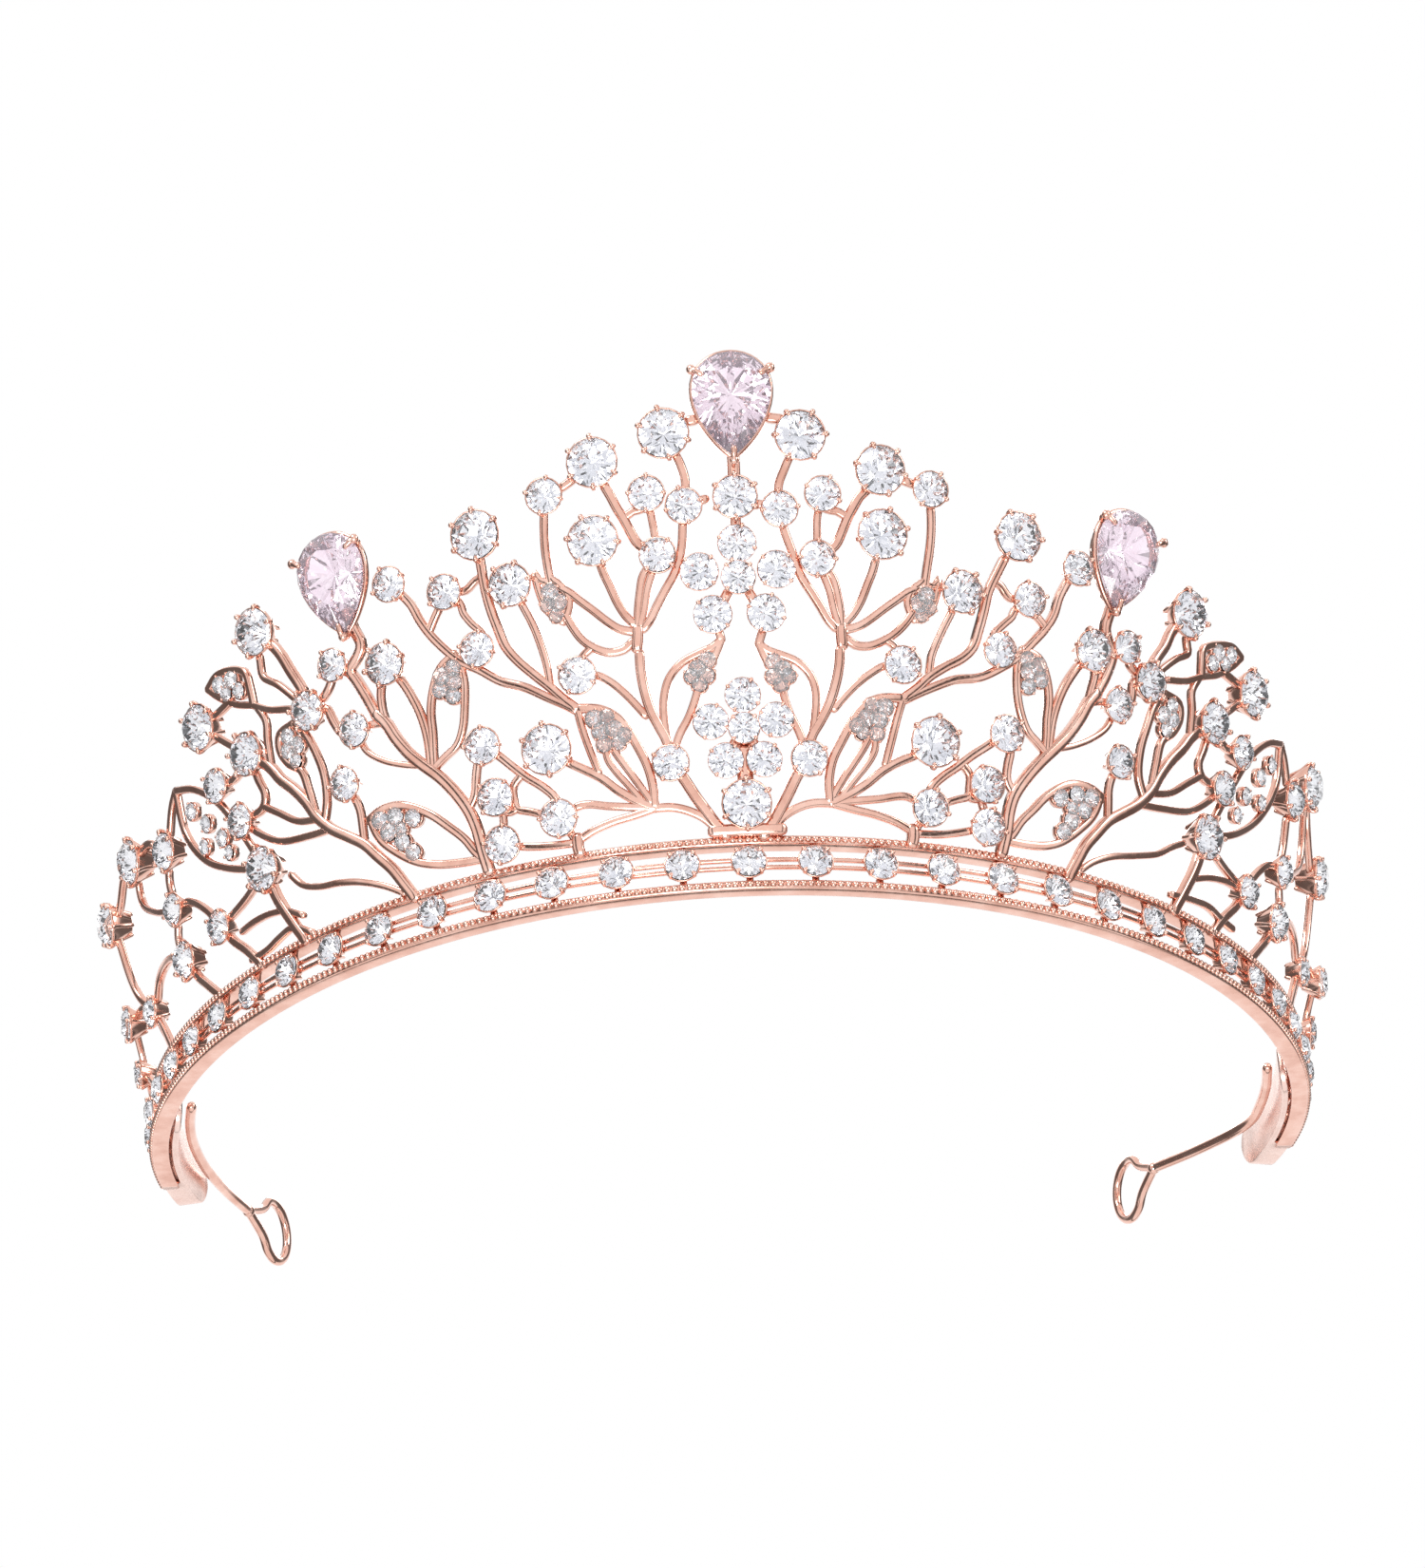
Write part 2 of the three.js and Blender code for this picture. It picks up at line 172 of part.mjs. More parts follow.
  ['side',1.5,[[-76,3],[-78.5,5.5],[-80.5,7.5],[-81.9,10.2]],[[76,3],[78.5,5.5],[80.5,7.5],[81.9,10.2]]],
  ['side',1.2,[[-81.9,10.2],[-84,13.5],[-82,17]],[[81.9,10.2],[84,13.5],[82,17]]],
  ['side',1.4,[[-81.9,10.2],[-88,13],[-94,13],[-98.5,10.6]],[[81.9,10.2],[88,13],[94,13],[98.5,10.6]]],
  ['side',1.5,[[-93,3],[-95,6],[-97,8.5],[-98.5,10.6]],[[93,3],[95,6],[97,8.5],[98.5,10.6]]],
  ['side',1.4,[[-98.5,10.6],[-101,14.5,1.8],[-101,24.2,3.6]],[[98.5,10.6],[101,14.5,0.8],[100.5,24.8,1.6]]],
  ['side',1.4,[[-101,24.2,3.6],[-98,25,2.9],[-94,27.8,2.2],[-90,27.5,1.5]],[[100.5,24.8,1.6],[98,25,1.27],[94,27.8,0.93],[91,33,0.6]]],
  ['side',1.3,[[-98.5,10.6],[-102,12.8,1.1],[-106,12.5,2.2]],[[98.5,10.6],[102,12.8,1.1],[106,12.5,2.2]]],
  ['side',1.4,[[-105.5,3],[-107.5,5,0.6],[-111,7.6,1.2]],[[105.5,3],[107.5,5,0.6],[111,7.6,1.2]]],
  ['side',1.2,[[-111,7.6,1.2],[-109.5,10.5,1.7],[-106,12.5,2.2]],[[111,7.6,1.2],[109.5,10.5,1.7],[106,12.5,2.2]]],
  ['side',1.2,[[-111,7.6,1.2],[-115,7.2,1],[-118.5,5.4,0.8]],[[111,7.6,1.2],[115,7.2,1],[118.5,5.4,0.8]]],
  ['side',1.3,[[-117,3],[-117.8,4.2,0.4],[-118.5,5.4,0.8]],[[117,3],[117.8,4.2,0.4],[118.5,5.4,0.8]]],
  ['side',1.2,[[-82,17],[-88,19.5,0.5],[-92,23,1],[-90,27.5,1.5]],[[82,17],[88,19.5,0.2],[92,23,0.4],[91,33,0.6]]],
  ['outer',1.1,[[-41.69,3.73],[-44.01,5.22],[-47.11,6.66],[-50.48,7.67],[-53.38,8.22],[-55.9,9.37],[-57.31,11.09]],[[41.48,3.62],[42.99,4.89],[45.69,6.25],[49.35,7.36],[53.18,8.72],[55.46,10.26],[57.4,11.36]]],
  ['side',1.1,[[-57.05,5.99],[-59.48,7.37],[-62.29,8.09],[-65.29,8.31],[-68.24,8.16]],[[60.15,7.74],[63.52,9.02],[67.79,9.95],[71.28,10.04]]],
  ['side',1.1,[[-56.21,3.55],[-58.89,5.12],[-61.67,4.84],[-64.32,4.29],[-67.74,4.29]],[[56.69,4.73],[60.74,5.3],[64.39,5.57],[67.2,5.1],[70.4,4.9]]],
];
// Leaf plates under the pave stones: [spray, left outline [s,h], right outline [s,h]]
const LEAVES = [
  ['centre',[[-6.18,22.02],[-4.92,19.94],[-3.84,19.94],[-2.48,22.02],[-2.3,23.76],[-2.88,24.89],[-4.04,24.89]],[[2.15,23.3],[2.21,21.66],[3.49,19.65],[4.57,19.65],[5.9,21.7],[3.89,24.43],[2.73,24.43]]],
  ['wing',[[-20.03,32.19],[-18.78,29.82],[-17.78,29.82],[-16.76,32.2],[-18.06,34.73],[-19.22,34.73],[-19.8,33.56]],[[17.13,30.85],[18.11,28.61],[19.11,28.61],[20.42,30.58],[20.2,31.89],[19.62,33.06],[18.46,33.06]]],
  ['inner',[[-16.94,18.32],[-16.07,15.23],[-15.49,14.15],[-12.85,14.24],[-11.58,16.02],[-13.81,19.42],[-16.32,19.49]],[[10.98,16.21],[12.25,14.42],[14.9,14.36],[15.48,15.44],[16.36,18.53],[15.74,19.7],[13.21,19.65]]],
  ['mid',[[-33.18,25.3],[-31.22,23.16],[-30.1,23.16],[-29.55,24.24],[-28.96,27.37],[-29.53,28.5],[-32.15,27.96]],[[29.83,26.47],[30.4,23.4],[30.96,22.32],[32.08,22.32],[34.09,24.49],[33.07,27.16],[30.41,27.6]]],
  ['mid',[[-43.91,12.72],[-42.47,9.89],[-39.84,6.78],[-38.58,6.78],[-37.03,11.76],[-39.88,13.75],[-43.25,13.93]],[[35.98,11.35],[37.66,6.39],[38.92,6.39],[41.35,9.48],[42.82,12.31],[42.16,13.52],[38.76,13.35]]],
  ['outer',[[-54.19,25.1],[-52.69,22.46],[-51.57,22.46],[-50.29,25.19],[-50.89,26.36],[-51.97,27.83],[-53.11,27.83]],[[49.51,25.24],[50.81,22.49],[51.93,22.49],[53.42,25.16],[52.34,27.87],[51.2,27.87],[50.11,26.41]]],
  ['outer',[[-62.45,37.22],[-60.94,34.58],[-58.81,33.93],[-57.71,33.93],[-57.15,35.06],[-58.51,38.04],[-61.88,38.39]],[[56.69,34.44],[57.25,33.31],[58.35,33.31],[60.65,34.19],[62.17,36.82],[61.6,37.99],[57.94,37.23]]],
  ['side',[[-73.8,25.8],[-72.63,20.6],[-72.07,19.52],[-67.35,16.76],[-65.7,17.8],[-66.89,21.17],[-72,26.97]],[[66.3,18.52],[67.95,17.48],[73.59,21.36],[74.15,22.44],[75.78,28.2],[74.01,29.37],[68.22,22.77]]],
];

// Centre column heads: [node name or '', diameter, s, h, r]
const COLUMN = [
  ['column_stone_top', 5.1, 0, 42.4],
  ['upper_flower_center', 3.8, 0, 33.0, 0.5],
  ['', 4.1, 0, 37.0],
  ['', 4.1, -3.75, 33.9],
  ['', 4.1, 3.75, 33.9],
  ['', 4.1, -2.65, 28.9],
  ['', 4.1, 2.65, 28.9],
  ['lower_flower_center', 3.5, 0, 15.7, 0.5],
  ['', 3.8, 0, 19.5],
  ['', 3.8, -3.45, 16.6],
  ['', 3.8, 3.45, 16.6],
  ['', 3.8, -2.05, 12.1],
  ['', 3.8, 2.05, 12.1],
  ['column_stone_base', 5.7, 0, 7.1],
];
// Pear heads: [node name, spray, side, s, h, lean of the long axis in the wall, radians]
const PEARS = [
  ['pear_stone_center', 'centre', 0, 0, 53.4, 0],
  ['pear_stone_left', 'mid', -1, -41.5, 41.6, 0.02],
  ['pear_stone_right', 'mid', 1, 41.4, 41.5, -0.11],
];

// ---------------------------------------------------------------- the wall
const N = 1600, S_MAX = 150;
const plan = [];
{
  const th = (s) => PLAN_K0 * s + PLAN_K2 * s ** 3 / 3 + PLAN_K4 * s ** 5 / 5;
  let x = 0, y = 0;
  const half = [[0, 0, 0]];
  const ds = S_MAX / N;
  for (let i = 1; i <= N; i++) {
    const m = th((i - 0.5) * ds);
    x += Math.cos(m) * ds; y += Math.sin(m) * ds;
    half.push([x, y, th(i * ds)]);
  }
  plan.push(...half);
}
function planAt(s) {
  const a = Math.abs(s) / S_MAX * N, i = Math.min(N - 1, Math.floor(a)), f = a - i;
  const p = plan[i], q = plan[i + 1], g = s < 0 ? -1 : 1;
  const th = g * (p[2] + (q[2] - p[2]) * f);
  return { x: g * (p[0] + (q[0] - p[0]) * f) - Math.sin(th) * PLAN_INSET, y: p[1] + (q[1] - p[1]) * f + Math.cos(th) * PLAN_INSET, th };
}
const flare = (s) => FLARE_0 + FLARE_2 * (s / 100) ** 2;
function wall(s, h, r = 0) {
  const p = planAt(s), f = flare(s), sf = Math.sin(f), cf = Math.cos(f);
  const nx = Math.sin(p.th), ny = -Math.cos(p.th);
  return new THREE.Vector3(p.x + nx * (h * sf + r * cf), p.y + ny * (h * sf + r * cf), BAND_Z + h * cf - r * sf);
}
// frame standing on the wall: X along the band, Y up the wall, Z straight out of the wall
function wallFrame(s, h, r = 0, lean = 0) {
  const o = wall(s, h, r), n = wall(s, h, 1).sub(wall(s, h, 0)).normalize();
  const u = wall(s, h + 0.5).sub(wall(s, h - 0.5));
  u.addScaledVector(n, -u.dot(n)).normalize();
  const t = new THREE.Vector3().crossVectors(u, n).normalize();
  const m = new THREE.Matrix4().makeBasis(t, u, n);
  if (lean) m.multiply(new THREE.Matrix4().makeRotationZ(lean));
  m.setPosition(o);
  return m;
}
// frame standing upright on the band itself, without the flare
function bandFrame(s, r = 0) {
  const p = planAt(s), n = new THREE.Vector3(Math.sin(p.th), -Math.cos(p.th), 0);
  const u = new THREE.Vector3(0, 0, 1), t = new THREE.Vector3().crossVectors(u, n).normalize();
  return new THREE.Matrix4().makeBasis(t, u, n).setPosition(p.x + n.x * r, p.y + n.y * r, (RAIL_LOW_Z + RAIL_H + RAIL_UP_Z) / 2);
}
const offsetPlan = (s, d) => { const p = planAt(s); return new THREE.Vector2(p.x + Math.sin(p.th) * d, p.y - Math.cos(p.th) * d); };

// ---------------------------------------------------------------- solids
function solid(geometry) {
  const g = geometry.clone();
  g.deleteAttribute('normal'); g.deleteAttribute('uv');
  const m = mergeVertices(g, 1e-5);
  const idx = m.index.array, keep = [];
  for (let i = 0; i < idx.length; i += 3) {
    const [a, b, c] = [idx[i], idx[i + 1], idx[i + 2]];
    if (a !== b && b !== c && a !== c) keep.push(a, b, c);
  }
  return new wasm.Manifold(new wasm.Mesh({ numProp: 3, vertProperties: new Float32Array(m.attributes.position.array), triVerts: new Uint32Array(keep) }));
}
const fuse = (list) => wasm.Manifold.union(list);
function biggest(m) {
  const parts = m.decompose();
  return parts.length < 2 ? m : parts.reduce((a, b) => (a.volume() > b.volume() ? a : b));
}
const group = new THREE.Group();
group.name = 'bridal_tiara';
const GOLD = { color: 0xdca793, roughness: 0.24, metalness: 1.0 };
const GOLD_SATIN = { color: 0xe3b3a0, roughness: 0.34, metalness: 1.0 };
const CRYSTAL = { color: 0xe8ebf2, roughness: 0.06, metalness: 0.1 };
const CRYSTAL_PEAR = { color: 0xe9dce8, roughness: 0.05, metalness: 0.1 };
function add(name, whole, look) {
  const m = biggest(whole.simplify(MERGE));
  const mesh = m.getMesh(), g = new THREE.BufferGeometry();
  g.setAttribute('position', new THREE.BufferAttribute(new Float32Array(mesh.vertProperties), 3));
  g.setIndex(new THREE.BufferAttribute(new Uint32Array(mesh.triVerts), 1));
  g.computeVertexNormals();
  const o = new THREE.Mesh(g, new THREE.MeshStandardMaterial(look));
  o.name = name;
  group.add(o);
}
function polygon(n, r, turn = 0) {
  const s = new THREE.Shape();
  for (let i = 0; i < n; i++) {
    const a = turn + i / n * 2 * Math.PI, x = r * Math.cos(a), y = r * Math.sin(a);
    if (i) s.lineTo(x, y); else s.moveTo(x, y);
  }
  s.closePath();
  return s;
}
// cast stem: four-sided rod swept along the wall
function stem(points, width, grow = 0, sides = STEM_SIDES, pitch = STEM_PITCH) {
  const pts = points.map((p) => wall(p[0], p[1], p[2] || 0));
  const clean = [pts[0]];
  for (const p of pts.slice(1)) if (p.distanceTo(clean[clean.length - 1]) > 0.25) clean.push(p);
  const curve = clean.length > 2 ? new THREE.CatmullRomCurve3(clean, false, 'centripetal') : new THREE.LineCurve3(clean[0], clean[clean.length - 1]);
  const steps = Math.max(clean.length > 2 ? 2 : 1, Math.round(curve.getLength() / pitch));
  return solid(new THREE.ExtrudeGeometry(polygon(sides, width / 2 * 1.2 + grow * 1.2, Math.PI / 4), { steps, bevelEnabled: false, extrudePath: curve }));
}
const lathe = (profile, n) => new THREE.LatheGeometry(profile.map((p) => new THREE.Vector2(p[0], p[1])), n);
// all heads are turned about +Z of their own frame
const place = (geometry, frame) => solid(geometry.rotateX(Math.PI / 2).applyMatrix4(frame));
const SEAT = 0.9;             // the girdle sits this far in front of the wall
const sidesOf = (d) => (d > 5.6 ? 8 : d > 4.4 ? 7 : 6);
function stoneGeometry(d, grow = 0, n = sidesOf(d)) {
  const R = d / 2 + grow, p = d * 0.36, c = d * 0.17;
  return lathe([[0, SEAT - p - grow], [R, SEAT - 0.1 - grow * 0.5], [R, SEAT + 0.15 + grow * 0.5], [R * 0.6, SEAT + c + grow], [0, SEAT + c + grow]], n);
}
// the seat cut into a setting: the stone grown by the clearance and open at the front
function seatGeometry(d, n = sidesOf(d)) {
  const R = d / 2 + GAP;
  return lathe([[0, SEAT - d * 0.36 - GAP], [R, SEAT - 0.1 - GAP], [R, SEAT + d * 0.17 + GAP], [0, SEAT + d * 0.17 + GAP]], n);
}
function cupGeometry(d, grow = 0, n = sidesOf(d)) {
  const R = d / 2 + CUP_WALL + grow, b = SEAT - d * 0.36 - GAP - 0.5 - grow;
  return lathe([[0, b], [R * 0.86, b], [R, SEAT + 0.1 + grow], [0, SEAT + 0.1 + grow]], n);
}
// setting with its stone in one body, used for the small heads
function headGeometry(d, grow = 0, n = 6, wallT = 0.35) {
  const R = d / 2 + wallT + grow, b = -0.9 - grow;
  return lathe([[0, b], [R, b], [R, SEAT + grow], [0, SEAT + d * 0.2 + grow]], n);
}
// pear outline, point towards -Y
function pearShape(grow = 0) {
  const pts = [], a = PEAR_W / 2 + grow, yc = PEAR_L / 2 - PEAR_W / 2, tip = -PEAR_L / 2 - grow * 1.6;
  for (let i = 0; i <= 10; i++) {
    const t = -0.16 + i / 10 * (Math.PI + 0.32);
    pts.push([a * Math.cos(t), yc + a * Math.sin(t)]);
  }
  const [x0, y0] = pts[0];
  const flank = [[0.86, 0.33], [0.45, 0.74]].map(([fx, fy]) => [x0 * fx, y0 + (tip - y0) * fy]);
  for (const [x, y] of flank) pts.push([-x, y]);
  pts.push([0, tip]);
  for (const [x, y] of flank.slice().reverse()) pts.push([x, y]);
  return new THREE.Shape(pts.map((p) => new THREE.Vector2(p[0], p[1])));
}
function pearStone(grow = 0) {
  const g = new THREE.ExtrudeGeometry(pearShape(grow), { depth: 0.3 + grow, bevelEnabled: true, bevelThickness: 1.7, bevelSize: 2.3, bevelOffset: -2.3, bevelSegments: 1, steps: 1 });
  g.translate(0, 0, SEAT - 0.15 - grow / 2);
  return g;
}
function pearCup(grow = 0) {
  const g = new THREE.ExtrudeGeometry(pearShape(CUP_WALL + grow), { depth: 3.6 + 2 * grow, bevelEnabled: false, steps: 1 });
  return g.translate(0, 0, SEAT + 0.1 - 3.6 - grow);
}
function pearClaws(frame, grow = 0) {
  const spots = [[PEAR_W / 2 + 0.75, 1.9, 0], [-PEAR_W / 2 - 0.75, 1.9, 0], [0, -PEAR_L / 2 - 0.9, 0]];
  return spots.map(([x, y]) => solid(new THREE.BoxGeometry(1.1 + 2 * grow, 1.1 + 2 * grow, 3.4 + 2 * grow).translate(x, y, SEAT - 0.2).applyMatrix4(frame)));
}

// ---------------------------------------------------------------- band
function planStrip(sA, sB, dA, dB, z, height, step = 6) {
  const n = Math.max(2, Math.round((sB - sA) / step)), front = [], back = [];
  for (let i = 0; i <= n; i++) {
    const s = sA + (sB - sA) * i / n;
    front.push(offsetPlan(s, dA(s))); back.push(offsetPlan(s, dB(s)));
  }
  return solid(new THREE.ExtrudeGeometry(new THREE.Shape([...front, ...back.reverse()]), { depth: height, bevelEnabled: false, steps: 1 }).translate(0, 0, z));
}
const railOffset = (z) => (s) => (z - BAND_Z) * Math.tan(flare(s));
function rail(z, grow = 0) {
  const mid = railOffset(z + RAIL_H / 2);
  return planStrip(-RAIL_END - grow, RAIL_END + grow, (s) => mid(s) + RAIL_DEPTH / 2 + grow, (s) => mid(s) - RAIL_DEPTH / 2 - grow, z - grow, RAIL_H + 2 * grow);
}
const lowRail = rail(RAIL_LOW_Z), upRail = rail(RAIL_UP_Z);
const lowRailFat = rail(RAIL_LOW_Z, GAP), upRailFat = rail(RAIL_UP_Z, GAP);
add('band_lower_rail', lowRail, GOLD);
add('band_upper_rail', upRail, GOLD);

function tab(side, grow = 0) {
  const g = side < 0 ? [-TAB_END + 3.1, -TAB_START + grow] : [TAB_START - grow, TAB_END - 3.1];
  const inner = -RAIL_DEPTH / 2 - GAP - TAB_T, z0 = 0.25, z1 = RAIL_UP_Z + RAIL_H - 0.05;
  const off = (s) => -Math.abs(railOffset(RAIL_LOW_Z)(s));
  const strip = planStrip(g[0], g[1], (s) => off(s) + inner + TAB_T + grow, (s) => off(s) + inner - grow, z0 - grow, z1 - z0 + 2 * grow);
  const e = side < 0 ? [-TAB_END + 3.1, -RAIL_END - GAP + grow] : [RAIL_END + GAP - grow, TAB_END - 3.1];
  const block = planStrip(e[0], e[1], () => 0.9 + grow, () => inner - grow, z0 - grow, z1 - z0 + 2 * grow);
  const s = side * (TAB_END - 3.15), p = planAt(s), n = new THREE.Vector3(Math.sin(p.th), -Math.cos(p.th), 0);
  const depth = 0.9 - inner, cyl = new THREE.CylinderGeometry((z1 - z0) / 2 + grow, (z1 - z0) / 2 + grow, depth + 2 * grow, 16);
  cyl.applyQuaternion(new THREE.Quaternion().setFromUnitVectors(new THREE.Vector3(0, 1, 0), n));
  const c = (0.9 + inner) / 2;
  cyl.translate(p.x + n.x * c, p.y + n.y * c, (z0 + z1) / 2);
  return fuse([strip, block, solid(cyl)]);
}
const tabs = { '-1': tab(-1), 1: tab(1) };

// cup chain: one cup every BAND_PITCH with a pair of links between neighbours
{
  const parts = [];
  const flat = BAND_STONE_D / Math.cos(Math.PI / 6);
  for (let i = -BAND_STONES; i <= BAND_STONES; i++) parts.push(place(headGeometry(flat, 0, 6, 0), bandFrame(i * BAND_PITCH, 0.35)));
  for (let i = -BAND_STONES; i < BAND_STONES; i++) {
    const a = bandFrame(i * BAND_PITCH + 1.6, 0.35), b = bandFrame((i + 1) * BAND_PITCH - 1.6, 0.35);
    const L = new THREE.Vector3().setFromMatrixPosition(a).distanceTo(new THREE.Vector3().setFromMatrixPosition(b));
    parts.push(solid(new THREE.BoxGeometry(L, 1.3, 1.0).applyMatrix4(bandFrame((i + 0.5) * BAND_PITCH, 0.25))));
  }
  let chain = fuse(parts);
  chain = chain.subtract(tab(-1, GAP)).subtract(tab(1, GAP));
  add('band_cup_chain', biggest(chain), GOLD);
}

// wire loops brazed inside the band ends, each a teardrop ring standing on edge
function loop(side) {
  const V = (x, y, z) => new THREE.Vector3(side * x, y, z);
  const start = [106, 112, 118, 124].map((s) => { const q = offsetPlan(s, -RAIL_DEPTH / 2 - 2 * GAP - TAB_T - LOOP_WIRE / 2 - 0.45); return V(q.x, q.y, 4.2); });
  const place2 = side < 0 ? LOOP_LEFT : LOOP_RIGHT, [nx, ny] = place2.neck, [cx, cy] = place2.mid, nz = 4.9;
  const far = Math.hypot(cx - nx, cy - ny), dx = (cx - nx) / far, dy = (cy - ny) / far;
  const leg = new THREE.CatmullRomCurve3([...start, V(...place2.leg[0], 4.4), V(...place2.leg[1], 4.7), V(nx, ny, nz)], false, 'centripetal');
  const wire = polygon(6, LOOP_WIRE / 2 * 1.08);
  const ring = [];
  for (let i = 0; i <= 12; i++) {
    const a = Math.PI + (i / 12) * 2 * Math.PI, c = Math.cos(a), s = Math.sin(a);
    const reach = i === 0 || i === 12 ? far + 0.1 : LOOP_R;
    ring.push(V(cx + dx * c * reach, cy + dy * c * reach, nz + s * LOOP_R * (i === 0 || i === 12 ? 0 : 1)));
  }
  const ringCurve = new THREE.CatmullRomCurve3(ring, false, 'centripetal');
  return fuse([
    solid(new THREE.ExtrudeGeometry(wire, { steps: 8, bevelEnabled: false, extrudePath: leg })),
    solid(new THREE.ExtrudeGeometry(wire, { steps: 16, bevelEnabled: false, extrudePath: ringCurve })),
    solid(new THREE.SphereGeometry(1.15, 10, 8).translate(side * nx, ny, nz)),   // solder where the wire closes on itself
  ]);
}
for (const [side, tag] of [[-1, 'left'], [1, 'right']]) {
  add(`end_tab_${tag}`, tabs[side], GOLD_SATIN);
  add(`end_loop_${tag}`, biggest(loop(side)), GOLD);
}

// ---------------------------------------------------------------- crest
// every stone that is a node of its own, with a version grown by the clearance
const stones = [];
for (const [name, spray, d, L, R] of HEADS) {
  if (!name) continue;
  for (const [side, tag, p] of [[-1, 'left', L], [1, 'right', R]]) stones.push({ name: `${name}_${tag}`, spray, side, d, frame: wallFrame(p[0], p[1], p[2] || 0) });
}
for (const [name, d, s, h, r] of COLUMN) if (name) stones.push({ name, spray: 'centre', side: 0, d, frame: wallFrame(s, h, r || 0) });
const pears = PEARS.map(([name, spray, side, s, h, lean]) => ({ name, spray, side, frame: wallFrame(s, h, 0, lean) }));
const cutters = fuse([
  ...stones.map((o) => place(seatGeometry(o.d), o.frame)),
  ...pears.map((o) => solid(pearStone(GAP).applyMatrix4(o.frame))),
]);

// leaf plates: one thin plate carries the pave stones of a leaf
function leafPlates(spray, side, grow) {
  return LEAVES.filter((p) => p[0] === spray).map((p) => {
    const pts = p[side < 0 ? 1 : 2];
    const cs = pts.reduce((a, q) => a + q[0], 0) / pts.length, ch = pts.reduce((a, q) => a + q[1], 0) / pts.length;
    const frame = wallFrame(cs, ch), back = frame.clone().invert();
    const flat = pts.map((q) => wall(q[0], q[1]).applyMatrix4(back)).map((v) => { const l = Math.hypot(v.x, v.y), k = (l + grow) / l; return new THREE.Vector2(v.x * k, v.y * k); });
    if (THREE.ShapeUtils.area(flat) < 0) flat.reverse();
    return solid(new THREE.ExtrudeGeometry(new THREE.Shape(flat), { depth: 1.3 + 2 * grow, bevelEnabled: false, steps: 1 }).translate(0, 0, -0.45 - grow).applyMatrix4(frame));
  });
}
function spraySolid(spray, side, grow = 0) {
  const parts = [];
  const sides = spray === 'centre' ? [-1, 1] : [side];
  for (const sd of sides) {
    const pick = sd < 0 ? 2 : 3;
    for (const st of STEMS) if (st[0] === spray) parts.push(stem(st[pick], st[1], grow));
    parts.push(...leafPlates(spray, sd, grow));
    for (const [name, sp, d, L, R] of HEADS) {
      if (sp !== spray || name) continue;
      const p = sd < 0 ? L : R;
      parts.push(place(headGeometry(d, grow), wallFrame(p[0], p[1], p[2] || 0)));
    }
  }
  for (const o of stones) {
    if (o.spray !== spray || (spray !== 'centre' && o.side !== side)) continue;
    parts.push(place(cupGeometry(o.d, grow), o.frame));
  }
  for (const o of pears) {
    if (o.spray !== spray || (spray !== 'centre' && o.side !== side)) continue;
    parts.push(solid(pearCup(grow).applyMatrix4(o.frame)), ...pearClaws(o.frame, grow));
  }
  if (spray === 'centre') {
    parts.push(stem([[-3.8, 4.15], [0, 4.15], [3.8, 4.15]], 1.7, grow));
    parts.push(stem([[0, 47.6], [0, 44.2]], 1.5, grow));
    for (const [name, d, s, h] of COLUMN) if (!name) parts.push(place(headGeometry(d, grow), wallFrame(s, h)));
    // back plates that carry the two flowers
    for (const [h, R] of [[33, 4.3], [15.6, 4.1]]) parts.push(place(lathe([[0, -1.75 - grow], [R + grow, -1.75 - grow], [R + grow, -0.75 + grow], [0, -0.75 + grow]], 8), wallFrame(0, h)));
    parts.push(stem([[0, 37, -0.6], [0, 42.4, -0.6]], 1.4, grow));
    for (const side of [-1, 1]) parts.push(stem([[side * 7.6, 51], [side * 3.4, 51.6]], 1.6, grow));
  }
  return fuse(parts);
}
const ORDER = ['centre', 'wing', 'inner', 'mid', 'outer', 'side'];
const LABEL = { centre: 'centre_motif', wing: 'crest_wing', inner: 'inner_spray', mid: 'mid_spray', outer: 'outer_spray', side: 'side_spray' };
for (const side of [0, -1, 1]) {
  let fat = null;
  for (const spray of ORDER) {
    if ((spray === 'centre') !== (side === 0)) {
      if (side !== 0 && spray === 'centre') fat = spraySolid('centre', 0, GAP);
      continue;
    }
    let m = spraySolid(spray, side).subtract(upRailFat).subtract(cutters);
    if (fat) m = m.subtract(fat);
    m = biggest(m);
    add(side === 0 ? LABEL[spray] : `${LABEL[spray]}_${side < 0 ? 'left' : 'right'}`, m, GOLD);
    if (side !== 0) fat = fat ? fuse([fat, spraySolid(spray, side, GAP)]) : spraySolid(spray, side, GAP);
  }
}
for (const o of stones) add(o.name, place(stoneGeometry(o.d), o.frame), CRYSTAL);
for (const o of pears) add(o.name, solid(pearStone().applyMatrix4(o.frame)), CRYSTAL_PEAR);

// centre of the footprint on the origin
const box = new THREE.Box3();
for (const o of group.children) { o.geometry.computeBoundingBox(); box.union(o.geometry.boundingBox); }
const cx = (box.min.x + box.max.x) / 2, cy = (box.min.y + box.max.y) / 2;
for (const o of group.children) o.geometry.translate(-cx, -cy, 0);

export default group;
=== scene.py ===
"""Looks of the bridal tiara: rose-gold band and open-work crest with claw-set stones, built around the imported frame."""
import bpy, math, random
import numpy as np
from mathutils import Matrix, Vector


